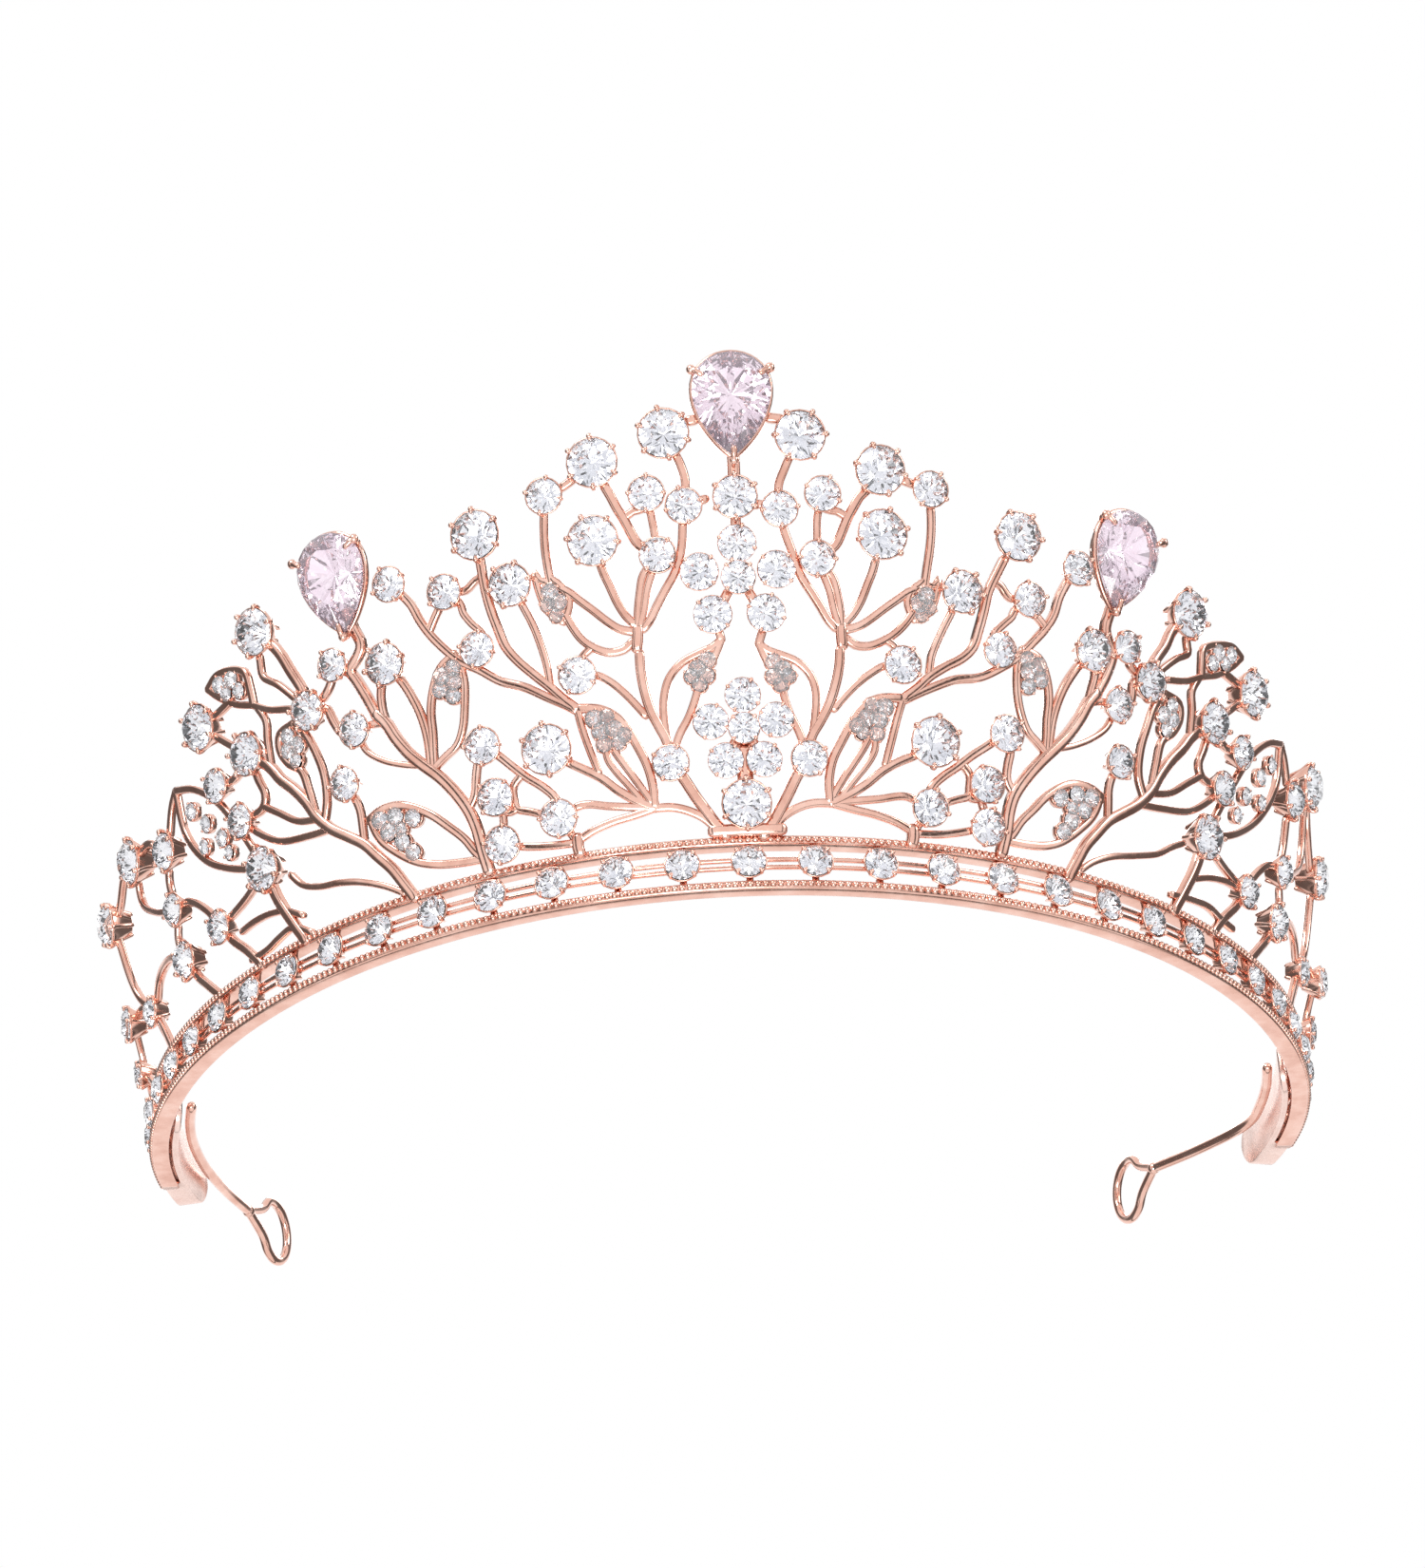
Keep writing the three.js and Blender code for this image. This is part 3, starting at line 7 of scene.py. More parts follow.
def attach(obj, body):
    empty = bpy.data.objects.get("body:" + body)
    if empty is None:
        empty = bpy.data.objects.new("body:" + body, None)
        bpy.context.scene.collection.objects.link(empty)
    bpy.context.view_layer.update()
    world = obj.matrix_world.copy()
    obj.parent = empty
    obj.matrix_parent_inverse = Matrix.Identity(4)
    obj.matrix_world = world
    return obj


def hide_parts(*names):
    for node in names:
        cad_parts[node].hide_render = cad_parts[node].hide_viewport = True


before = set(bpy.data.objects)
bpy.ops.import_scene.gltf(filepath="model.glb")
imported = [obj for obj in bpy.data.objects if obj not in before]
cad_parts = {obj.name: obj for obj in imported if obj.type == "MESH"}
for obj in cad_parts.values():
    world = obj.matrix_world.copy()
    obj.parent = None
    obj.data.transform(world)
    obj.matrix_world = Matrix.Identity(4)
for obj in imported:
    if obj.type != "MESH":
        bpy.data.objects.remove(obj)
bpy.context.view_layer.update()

# ------------------------------------------------------------------ the wall, in millimetres (same surface as the CAD)
K0, K2, K4 = 0.01433, -7.3187e-07, 6.4671e-11
F0, F2 = 0.38767, -0.23911
BAND_Z = 3.35
SHIFT = np.array([0.95672, -45.81104, 0.0])
SEAT = 0.9
RAIL_H, RAIL_DEPTH, RAIL_LOW_Z, RAIL_UP_Z, RAIL_END = 1.1, 2.2, 0.0, 5.65, 124.0
BAND_PITCH, BAND_STONES, BAND_STONE_D = 7.6, 16, 3.9
TAB_START, TAB_END, TAB_T, GAP = 103.0, 133.0, 0.9, 0.3
PEAR_W, PEAR_L = 9.15, 12.2
LOOP_WIRE, LOOP_R = 1.3, 4.15
PLAN_INSET = 1.1

_s = np.linspace(0, 150, 3001)
_t = K0 * _s + K2 * _s ** 3 / 3 + K4 * _s ** 5 / 5
_m = K0 * (_s[:-1] + .025) + K2 * (_s[:-1] + .025) ** 3 / 3 + K4 * (_s[:-1] + .025) ** 5 / 5
_x = np.concatenate([[0], np.cumsum(np.cos(_m) * .05)])
_y = np.concatenate([[0], np.cumsum(np.sin(_m) * .05)])


def plan(s):
    g = -1.0 if s < 0 else 1.0
    a = abs(s)
    th = g * np.interp(a, _s, _t)
    return g * np.interp(a, _s, _x) - math.sin(th) * PLAN_INSET, np.interp(a, _s, _y) + math.cos(th) * PLAN_INSET, th


def flare(s):
    return F0 + F2 * (s / 100) ** 2


def wall(s, h, r=0.0):
    x, y, th = plan(s)
    f = flare(s)
    d = h * math.sin(f) + r * math.cos(f)
    return np.array([x + math.sin(th) * d, y - math.cos(th) * d, BAND_Z + h * math.cos(f) - r * math.sin(f)]) + SHIFT


def unit(v):
    return v / np.linalg.norm(v)


class Frame:
    """A place on the wall: x along the band, y up the wall, z straight out."""

    def __init__(self, o, x, y, z):
        self.o, self.x, self.y, self.z = o, x, y, z

    def at(self, p):
        return self.o + self.x * p[0] + self.y * p[1] + self.z * p[2]

    def turned(self, a):
        c, s = math.cos(a), math.sin(a)
        return Frame(self.o, self.x * c + self.y * s, self.y * c - self.x * s, self.z)

    def tilted(self, ax, ay):
        z = unit(self.z + self.x * ax + self.y * ay)
        x = unit(self.x - z * self.x.dot(z))
        return Frame(self.o, x, np.cross(z, x), z)


def wall_frame(s, h, r=0.0, lean=0.0):
    o = wall(s, h, r)
    n = unit(wall(s, h, 1) - wall(s, h, 0))
    u = wall(s, h + .5) - wall(s, h - .5)
    u = unit(u - n * u.dot(n))
    f = Frame(o, np.cross(u, n), u, n)
    return f.turned(lean) if lean else f


def band_frame(s, r=0.0, z=None):
    x, y, th = plan(s)
    n = np.array([math.sin(th), -math.cos(th), 0.0])
    u = np.array([0.0, 0.0, 1.0])
    z = (RAIL_LOW_Z + RAIL_H + RAIL_UP_Z) / 2 if z is None else z
    return Frame(np.array([x + n[0] * r, y + n[1] * r, z]) + SHIFT, np.cross(u, n), u, n)


def plan_point(s, off, z):
    x, y, th = plan(s)
    return np.array([x + math.sin(th) * off, y - math.cos(th) * off, z]) + SHIFT


# ------------------------------------------------------------------ tables
HEADS = [
    ('wing_stone_inner', 'wing', 6.2, (-6.3, 50.19), (6.15, 49.52)),
    ('wing_stone_outer', 'wing', 6.2, (-13.06, 47.72), (13.74, 45.94)),
    ('', 'wing', 4.2, (-17.96, 44.71), (18.79, 44.29)),
    ('', 'wing', 4.1, (-8.28, 43.4), (8.25, 42.76)),
    ('', 'wing', 4.1, (-4.86, 41.67), (4.17, 40.93)),
    ('inner_stone_top', 'inner', 6.2, (-25.29, 41.87), (28.47, 40.56)),
    ('wing_stone_lower', 'wing', 6.2, (-13.76, 38.67), (14.17, 38.46)),
    ('', 'wing', 4.1, (-7.65, 36.19), (7.79, 35.26)),
    ('', 'inner', 4.1, (-35.36, 39.04), (35.82, 38.57)),
    ('', 'inner', 4.1, (-29.5, 36.24), (30.46, 33.44)),
    ('inner_stone_mid', 'inner', 5.3, (-22.54, 35.27), (22.8, 32.87)),
    ('outer_stone_top', 'outer', 6.2, (-53.56, 40.46), (52.17, 38.46)),
    ('', 'inner', 4.1, (-27.03, 28.73), (27.56, 26.8)),
    ('mid_stone_top', 'mid', 5.3, (-37.7, 30.16), (39.08, 29.53)),
    ('', 'mid', 3.9, (-44.09, 32.28), (43.55, 31.26)),
    ('', 'wing', 4.3, (-16.88, 23.53), (16.82, 23.54)),
    ('outer_stone_mid', 'outer', 5.0, (-48.74, 28.41), (47.63, 28.26)),
    ('', 'mid', 4.1, (-43.14, 23.97), (43.44, 24.09)),
    ('outer_stone_far', 'outer', 6.2, (-66.53, 34.09), (66.53, 34.09)),
    ('', 'inner', 4.3, (-28.29, 17.62), (29.3, 17.31)),
    ('inner_stone_low', 'inner', 6.2, (-21.22, 15.68), (20.92, 15.05)),
    ('outer_stone_low', 'outer', 5.6, (-59.34, 27.31), (59.34, 27.31)),
    ('', 'centre', 4.1, (-7.99, 12.28), (6.95, 12.21)),
    ('', 'outer', 4.0, (-45.99, 18.3), (44.77, 17.51)),
    ('', 'outer', 4.2, (-65.94, 26.11), (65.94, 26.11)),
    ('', 'inner', 4.3, (-27.84, 11.46), (27.48, 11.01)),
    ('', 'inner', 4.3, (-20.98, 7.66), (20.84, 7.4)),
    ('', 'outer', 4.2, (-63.07, 20.28), (63.07, 20.28)),
    ('', 'inner', 4.3, (-27.96, 5.95), (28.07, 6.12)),
    ('side_stone_top', 'side', 6.2, (-90.0, 27.5, 1.5), (91.0, 33.0, 0.6)),
    ('', 'side', 5.7, (-61.3, 13.4), (61.3, 13.4)),
    ('', 'side', 4.2, (-72.0, 10.3), (72.0, 10.3)),
    ('', 'side', 5.0, (-81.9, 10.2), (81.9, 10.2)),
    ('', 'side', 4.0, (-98.5, 10.6), (98.5, 10.6)),
    ('', 'side', 5.0, (-80.0, 24.0, 0.5), (82.0, 26.8, 0.4)),
    ('', 'side', 4.2, (-82.0, 17.0), (82.0, 17.0)),
    ('', 'side', 6.0, (-101.0, 24.2, 3.6), (100.5, 24.8, 1.6)),
    ('', 'side', 4.4, (-106.0, 12.5, 2.2), (106.0, 12.5, 2.2)),
    ('', 'side', 3.8, (-111.0, 7.6, 1.2), (111.0, 7.6, 1.2)),
    ('', 'side', 3.6, (-118.5, 5.4, 0.8), (118.5, 5.4, 0.8)),
]
STEMS = [
    ('centre', 1.7, [(-2.37, 3.69), (-3.56, 5.06), (-4.52, 6.53), (-5.65, 8.34), (-6.75, 10.39), (-7.99, 12.28)], [(1.81, 3.47), (2.9, 4.87), (3.75, 6.38), (4.73, 8.25), (5.72, 10.32), (6.95, 12.21)]),
    ('centre', 1.5, [(-7.99, 12.28), (-8.26, 14.78), (-8.93, 16.48), (-9.67, 18.42), (-10.16, 20.89), (-10.35, 23.32), (-10.3, 25.07)], [(6.95, 12.21), (7.28, 14.71), (8.17, 16.44), (9.12, 18.42), (9.8, 20.81), (10.18, 23.12), (10.23, 24.76)]),
    ('centre', 1.2, [(-7.99, 12.28), (-8.36, 17.4), (-8.16, 20.01), (-7.42, 22.12), (-5.96, 23.73), (-4.08, 24.68), (-2.81, 25.25), (-1.92, 26.07)], [(6.95, 12.21), (7.67, 17.34), (7.72, 19.88), (7.15, 21.86), (5.8, 23.34), (3.98, 24.18), (2.74, 24.7), (1.87, 25.48)]),
    ('centre', 1.2, [(-7.99, 12.28), (-6.8, 15.51), (-5.78, 17.28), (-5.08, 18.96), (-4.38, 20.98), (-3.31, 22.88), (-2.57, 24.36), (-1.92, 26.07)], [(6.95, 12.21), (5.86, 15.43), (5.04, 17.16), (4.53, 18.78), (4.03, 20.69), (3.11, 22.46), (2.45, 23.86), (1.87, 25.48)]),
    ('centre', 1.3, [(-1.92, 26.07), (-2.24, 27.4), (-2.56, 28.62)], [(1.87, 25.48), (2.24, 26.75), (2.59, 27.92)]),
    ('wing', 1.7, [(-10.54, 25.83), (-10.35, 26.91), (-10.27, 27.99)], [(10.5, 25.46), (10.37, 26.44), (10.34, 27.44)]),
    ('wing', 1.2, [(-10.27, 27.99), (-10.12, 29.85), (-9.77, 32.0), (-9.24, 34.14), (-7.65, 36.19)], [(10.34, 27.44), (10.26, 29.15), (9.93, 31.2), (9.39, 33.25), (7.79, 35.26)]),
    ('wing', 1.2, [(-10.06, 28.19), (-9.43, 30.31), (-8.99, 32.46), (-7.65, 36.19)], [(10.14, 27.61), (9.56, 29.57), (9.13, 31.62), (7.79, 35.26)]),
    ('wing', 1.3, [(-10.6, 28.59), (-11.37, 29.68), (-12.08, 31.32), (-12.66, 33.28), (-13.17, 35.02), (-13.76, 38.67)], [(10.7, 27.99), (11.51, 29.02), (12.29, 30.59), (12.93, 32.58), (13.51, 34.49), (14.17, 38.46)]),
    ('wing', 1.3, [(-9.7, 27.93), (-8.97, 28.83), (-8.1, 30.49), (-7.14, 32.26), (-6.31, 33.71), (-5.78, 34.98), (-5.3, 37.03), (-5.09, 39.21), (-4.86, 41.67)], [(9.76, 27.35), (9.06, 28.17), (8.22, 29.72), (7.27, 31.4), (6.44, 32.81), (5.9, 34.07), (5.35, 36.14), (4.65, 38.44), (4.17, 40.93)]),
    ('wing', 1.3, [(-10.86, 27.74), (-12.16, 28.25), (-13.31, 29.3), (-14.43, 30.58), (-15.73, 32.01), (-16.75, 33.2), (-17.99, 34.21)], [(10.92, 27.23), (12.24, 27.73), (13.45, 28.7), (14.66, 29.84), (16.05, 31.09), (17.14, 32.08), (18.4, 32.75)]),
    ('wing', 1.3, [(-10.85, 26.64), (-11.89, 25.79), (-13.36, 25.67), (-14.76, 26.32), (-16.0, 27.52), (-16.89, 29.23), (-17.63, 31.36)], [(10.86, 26.22), (11.86, 25.5), (13.32, 25.49), (14.73, 26.17), (16.04, 27.22), (17.08, 28.53), (17.97, 30.18)]),
    ('wing', 1.2, [(-15.02, 26.59), (-16.09, 25.77), (-16.61, 24.64), (-16.88, 23.53)], [(15.01, 26.41), (16.05, 25.71), (16.55, 24.65), (16.82, 23.54)]),
    ('wing', 1.5, [(-13.06, 47.72), (-12.14, 44.83), (-11.7, 43.65), (-11.19, 42.13), (-10.66, 40.84), (-10.14, 39.33), (-9.44, 37.69), (-7.65, 36.19)], [(13.74, 45.94), (12.6, 43.58), (11.95, 42.78), (11.34, 41.46), (10.81, 40.23), (10.31, 38.71), (9.58, 36.86), (7.79, 35.26)]),
    ('wing', 1.2, [(-10.66, 40.84), (-9.7, 41.59), (-8.7, 41.8), (-8.28, 43.4)], [(10.81, 40.23), (9.71, 40.92), (8.66, 41.13), (8.25, 42.76)]),
    ('wing', 1.2, [(-8.28, 43.4), (-7.98, 40.61), (-7.82, 38.82), (-7.65, 36.19)], [(8.25, 42.76), (7.82, 39.89), (7.83, 37.99), (7.79, 35.26)]),
    ('wing', 1.3, [(-6.3, 50.19), (-5.27, 47.61), (-4.83, 46.14), (-4.56, 44.46), (-4.86, 41.67)], [(6.15, 49.52), (5.15, 46.9), (4.64, 45.41), (4.15, 43.73), (4.17, 40.93)]),
    ('wing', 1.3, [(-17.96, 44.71), (-15.95, 45.62), (-13.06, 47.72)], [(18.79, 44.29), (16.73, 44.93), (13.74, 45.94)]),
    ('wing', 1.3, [(-17.96, 44.71), (-18.38, 41.76), (-18.6, 39.02), (-18.59, 36.56), (-18.5, 34.76)], [(18.79, 44.29), (19.22, 41.14), (19.28, 38.0), (19.07, 35.08), (18.92, 33.11)]),
    ('wing', 1.1, [(-18.5, 34.76), (-19.52, 35.19), (-19.98, 36.19), (-19.73, 33.45), (-19.1, 31.32), (-17.79, 29.95)], [(18.92, 33.11), (19.9, 33.18), (20.37, 34.1), (20.09, 31.47), (19.47, 29.85), (18.06, 28.99)]),
    ('wing', 1.2, [(-18.45, 35.2), (-17.52, 34.12), (-16.86, 32.22), (-17.57, 30.13)], [(18.89, 33.59), (17.93, 32.82), (17.21, 31.1), (17.84, 29.16)]),
    ('wing', 1.3, [(-4.86, 41.67), (-2.81, 42.35)], [(4.17, 40.93), (2.21, 41.6)]),
    ('inner', 1.8, [(-19.22, 3.4), (-19.34, 4.19), (-19.22, 5.05)], [(19.09, 3.16), (19.2, 3.94), (19.08, 4.79)]),
    ('inner', 1.2, [(-19.14, 4.81), (-17.4, 5.63), (-14.84, 6.36), (-12.67, 6.73), (-10.19, 7.32)], [(19.0, 4.56), (17.23, 5.38), (14.55, 6.12), (12.18, 6.54), (9.44, 7.19)]),
    ('inner', 1.2, [(-20.98, 7.66), (-18.3, 8.74), (-15.17, 8.15), (-12.57, 7.7), (-10.19, 7.32)], [(20.84, 7.4), (18.14, 8.47), (14.86, 7.92), (12.02, 7.53), (9.44, 7.19)]),
    ('inner', 1.3, [(-10.19, 7.32), (-8.32, 7.24), (-6.68, 6.77), (-4.87, 5.77), (-3.67, 4.61)], [(9.44, 7.19), (7.48, 7.13), (5.86, 6.65), (4.14, 5.61), (3.05, 4.42)]),
    ('inner', 1.4, [(-10.17, 7.54), (-10.17, 9.93), (-10.59, 12.27), (-11.33, 14.32), (-12.25, 16.4), (-13.3, 18.07), (-14.99, 19.31), (-17.46, 19.82)], [(9.4, 7.41), (9.23, 9.85), (9.62, 12.2), (10.56, 14.32), (11.65, 16.57), (12.7, 18.29), (14.46, 19.47), (17.2, 19.77)]),
    ('inner', 1.2, [(-17.46, 19.82), (-17.2, 17.68), (-16.68, 15.07), (-15.97, 12.21)], [(17.2, 19.77), (16.71, 17.75), (16.18, 15.11), (15.57, 12.07)]),
    ('inner', 1.2, [(-10.45, 8.0), (-11.61, 10.09), (-12.67, 11.97), (-13.72, 13.86), (-14.4, 15.27)], [(9.66, 7.88), (10.8, 10.0), (11.98, 11.91), (13.14, 13.95), (13.8, 15.48)]),
    ('inner', 1.1, [(-11.38, 8.1), (-12.84, 10.24), (-14.02, 11.93), (-14.79, 13.46), (-14.9, 15.34)], [(10.67, 7.97), (12.2, 10.13), (13.48, 11.86), (14.26, 13.51), (14.3, 15.55)]),
    ('inner', 1.4, [(-10.19, 7.32), (-12.19, 8.42), (-13.94, 9.73), (-15.65, 11.4), (-17.39, 12.65), (-19.13, 13.83), (-21.22, 15.68)], [(9.44, 7.19), (11.55, 8.27), (13.45, 9.57), (15.26, 11.23), (17.06, 12.4), (18.85, 13.33), (20.92, 15.05)]),
    ('inner', 1.4, [(-28.29, 17.62), (-26.67, 16.03), (-25.37, 14.51), (-23.97, 12.99), (-22.34, 11.55), (-21.15, 10.0), (-20.98, 7.66)], [(29.3, 17.31), (27.42, 15.68), (25.44, 14.07), (23.81, 12.53), (22.16, 11.16), (21.0, 9.73), (20.84, 7.4)]),
    ('inner', 1.2, [(-24.56, 13.44), (-25.72, 12.36), (-25.88, 10.73), (-25.72, 9.69), (-24.26, 9.05), (-20.98, 7.66)], [(24.43, 12.99), (25.46, 11.93), (25.59, 10.32), (25.5, 9.36), (24.12, 8.8), (20.84, 7.4)]),
    ('inner', 1.2, [(-25.72, 9.69), (-26.99, 9.52), (-27.84, 11.46)], [(25.5, 9.36), (26.72, 9.17), (27.48, 11.01)]),
    ('inner', 1.2, [(-27.84, 11.46), (-27.5, 9.19), (-27.78, 7.58), (-27.96, 5.95)], [(27.48, 11.01), (27.28, 8.89), (27.85, 7.69), (28.07, 6.12)]),
    ('inner', 1.2, [(-27.96, 5.95), (-25.45, 5.2), (-22.69, 4.77), (-19.72, 4.58)], [(28.07, 6.12), (25.5, 5.26), (22.59, 4.57), (19.59, 4.33)]),
    ('inner', 1.3, [(-20.98, 7.66), (-19.99, 5.83), (-19.28, 4.62)], [(20.84, 7.4), (19.85, 5.58), (19.14, 4.37)]),
    ('inner', 1.5, [(-17.46, 19.82), (-18.82, 21.28), (-19.96, 22.72), (-21.47, 24.47), (-23.04, 26.48), (-24.1, 28.4), (-24.67, 30.9), (-25.06, 33.13), (-25.29, 35.67), (-25.33, 38.16), (-25.29, 41.87)], [(17.2, 19.77), (18.73, 21.17), (19.94, 22.55), (21.62, 23.92), (23.46, 25.2), (24.62, 26.67), (25.2, 29.05), (25.55, 31.02), (25.87, 33.43), (26.85, 36.31), (28.47, 40.56)]),
    ('inner', 1.4, [(-17.59, 19.62), (-18.71, 20.49), (-20.32, 21.57), (-22.67, 23.27), (-25.1, 24.5), (-27.43, 26.53), (-29.24, 27.92), (-30.84, 29.96), (-32.11, 32.05), (-32.96, 34.03), (-33.58, 36.06), (-35.36, 39.04)], [(17.3, 19.56), (18.57, 20.34), (20.28, 21.31), (22.89, 22.62), (25.6, 23.31), (28.02, 24.87), (29.95, 26.54), (31.6, 28.67), (32.92, 30.57), (33.77, 32.38), (34.25, 34.8), (35.82, 38.57)]),
    ('inner', 1.2, [(-22.54, 35.27), (-21.62, 32.53), (-20.91, 30.25), (-20.35, 27.57), (-20.04, 25.28), (-19.96, 22.72)], [(22.8, 32.87), (21.97, 30.39), (21.31, 28.71), (20.59, 26.73), (20.09, 24.97), (19.94, 22.55)]),
    ('inner', 1.2, [(-32.2, 32.19), (-31.42, 33.44), (-30.56, 34.66), (-29.5, 36.24)], [(33.01, 30.7), (32.28, 31.38), (31.49, 32.04), (30.46, 33.44)]),
    ('inner', 1.2, [(-29.5, 36.24), (-28.23, 34.66), (-28.02, 33.35), (-27.31, 31.92), (-26.39, 30.43), (-27.03, 28.73)], [(30.46, 33.44), (29.15, 32.05), (28.83, 31.11), (27.93, 30.02), (26.94, 28.55), (27.56, 26.8)]),
    ('inner', 1.2, [(-29.5, 36.24), (-27.41, 35.9), (-26.14, 36.8), (-25.4, 37.05)], [(30.46, 33.44), (28.35, 33.31), (27.11, 34.57), (26.31, 34.93)]),
    ('inner', 1.2, [(-27.03, 28.73), (-28.35, 27.45)], [(27.56, 26.8), (28.95, 25.77)]),
    ('wing', 1.2, [(-16.88, 23.53), (-14.97, 23.27), (-13.59, 22.29), (-12.33, 20.9), (-11.18, 19.33), (-10.3, 18.02)], [(16.82, 23.54), (14.91, 23.26), (13.43, 22.24), (11.99, 20.9), (10.7, 19.38), (9.73, 18.05)]),
    ('mid', 1.9, [(-30.31, 3.47), (-30.64, 6.0), (-30.86, 8.52), (-31.38, 10.67), (-32.54, 13.11), (-34.07, 15.44), (-35.81, 17.41), (-37.23, 19.21), (-38.45, 21.43), (-39.24, 23.41), (-40.26, 24.91)], [(30.36, 3.54), (30.7, 6.09), (30.77, 8.37), (31.19, 10.31), (32.52, 12.71), (34.18, 15.01), (35.82, 16.94), (37.24, 18.73), (38.58, 21.06), (39.49, 23.18), (40.55, 24.79)]),
    ('mid', 1.7, [(-40.26, 24.91), (-40.96, 27.24), (-41.87, 29.78), (-42.34, 31.0), (-41.06, 32.17), (-40.29, 33.4), (-40.71, 35.31), (-41.12, 37.81)], [(40.55, 24.79), (41.37, 26.87), (41.93, 29.03), (42.0, 30.08), (41.13, 31.33), (40.61, 32.62), (40.87, 34.58), (41.47, 37.42)]),
    ('mid', 1.3, [(-39.24, 23.41), (-39.37, 25.53), (-39.05, 27.51), (-37.7, 30.16)], [(39.49, 23.18), (39.82, 25.2), (40.01, 26.92), (39.08, 29.53)]),
    ('mid', 1.4, [(-37.7, 30.16), (-36.14, 27.13), (-35.4, 25.06), (-34.89, 22.96), (-34.66, 20.61), (-34.77, 18.37), (-35.02, 16.62)], [(39.08, 29.53), (37.15, 26.43), (36.14, 24.32), (35.49, 22.26), (35.09, 20.02), (35.03, 17.86), (35.08, 16.15)]),
    ('mid', 1.3, [(-44.09, 32.28), (-42.96, 31.11), (-42.1, 30.45)], [(43.55, 31.26), (42.49, 30.14), (41.93, 29.6)]),
    ('mid', 1.3, [(-34.57, 16.49), (-34.33, 18.24), (-33.96, 20.63), (-33.69, 23.17), (-32.84, 25.77), (-31.55, 27.89), (-29.82, 28.99)], [(34.7, 16.03), (34.64, 17.74), (34.45, 20.03), (34.4, 22.41), (33.74, 24.95), (32.44, 27.04), (30.52, 27.6)]),
    ('mid', 1.2, [(-34.53, 16.7), (-32.93, 17.62), (-31.37, 18.55), (-30.36, 20.31), (-29.69, 22.84), (-29.24, 25.43), (-29.34, 27.38), (-29.82, 28.99)], [(34.68, 16.24), (33.44, 17.18), (32.15, 18.15), (31.16, 19.85), (30.44, 22.04), (30.08, 24.49), (30.12, 26.22), (30.52, 27.6)]),
    ('mid', 1.2, [(-43.14, 23.97), (-41.24, 23.97), (-39.44, 23.59)], [(43.44, 24.09), (41.5, 24.02), (39.7, 23.4)]),
    ('mid', 1.0, [(-43.14, 23.97), (-42.53, 21.28), (-40.77, 19.53), (-38.21, 18.14), (-35.94, 17.34)], [(43.44, 24.09), (42.53, 21.17), (40.46, 19.15), (37.97, 17.68), (35.93, 16.86)]),
    ('mid', 1.3, [(-28.29, 17.62), (-29.39, 15.79), (-29.92, 14.12), (-30.35, 12.43), (-31.3, 11.1)], [(29.3, 17.31), (30.21, 15.45), (30.07, 13.72), (30.14, 12.02), (31.11, 10.72)]),
    ('mid', 1.4, [(-30.74, 4.91), (-31.59, 6.01), (-32.56, 7.71), (-34.22, 9.6), (-36.22, 11.62), (-39.28, 13.53), (-42.02, 13.93), (-44.04, 13.31)], [(30.8, 4.99), (31.61, 6.02), (32.47, 7.55), (33.94, 9.27), (35.55, 11.21), (38.24, 13.12), (40.97, 13.5), (43.04, 12.84)]),
    ('mid', 1.3, [(-30.74, 4.91), (-33.58, 5.15), (-36.67, 5.73), (-39.22, 6.78), (-41.52, 8.6), (-43.26, 10.63), (-44.04, 13.31)], [(30.8, 4.99), (33.48, 5.02), (36.23, 5.41), (38.42, 6.39), (40.48, 8.19), (42.19, 10.22), (43.04, 12.84)]),
    ('outer', 1.8, [(-40.33, 2.77), (-41.41, 4.79), (-42.5, 6.83), (-44.01, 8.79), (-45.53, 10.79), (-47.48, 12.37), (-49.59, 14.05), (-51.21, 16.06), (-52.2, 18.22), (-53.53, 20.29), (-55.22, 22.31), (-56.36, 24.24), (-59.34, 27.31)], [(39.84, 2.4), (40.73, 4.4), (41.62, 6.42), (43.05, 8.38), (44.61, 10.34), (46.64, 11.86), (48.79, 13.52), (50.49, 15.59), (51.57, 17.88), (52.96, 20.14), (54.67, 22.25), (55.97, 24.2), (59.34, 27.31)]),
    ('outer', 1.3, [(-45.53, 10.79), (-45.24, 12.9), (-45.1, 14.94), (-45.99, 18.3)], [(44.61, 10.34), (44.28, 12.39), (44.06, 14.29), (44.77, 17.51)]),
    ('outer', 1.3, [(-50.5, 14.96), (-49.29, 17.59), (-48.88, 20.51), (-49.24, 23.25), (-50.07, 25.94), (-51.25, 27.97)], [(49.74, 14.46), (48.28, 16.94), (48.01, 19.99), (48.55, 23.1), (49.23, 25.89), (50.33, 27.87)]),
    ('outer', 1.3, [(-51.38, 16.48), (-51.54, 19.39), (-51.93, 22.15), (-53.49, 23.61), (-54.36, 25.77), (-53.8, 27.47), (-51.25, 27.97)], [(50.67, 16.03), (50.85, 19.06), (51.21, 22.1), (52.75, 23.64), (53.63, 25.8), (53.08, 27.46), (50.33, 27.87)]),
    ('outer', 1.3, [(-51.25, 27.97), (-50.44, 28.23), (-48.74, 28.41)], [(50.33, 27.87), (49.39, 28.09), (47.63, 28.26)]),
    ('outer', 1.4, [(-48.74, 28.41), (-46.56, 27.89), (-45.87, 25.86), (-45.08, 24.28), (-43.14, 23.97)], [(47.63, 28.26), (45.65, 27.68), (45.58, 25.74), (45.25, 24.32), (43.44, 24.09)]),
    ('outer', 1.3, [(-48.74, 28.41), (-46.62, 29.21), (-45.42, 30.17), (-44.09, 32.28)], [(47.63, 28.26), (45.71, 28.93), (44.86, 29.4), (43.55, 31.26)]),
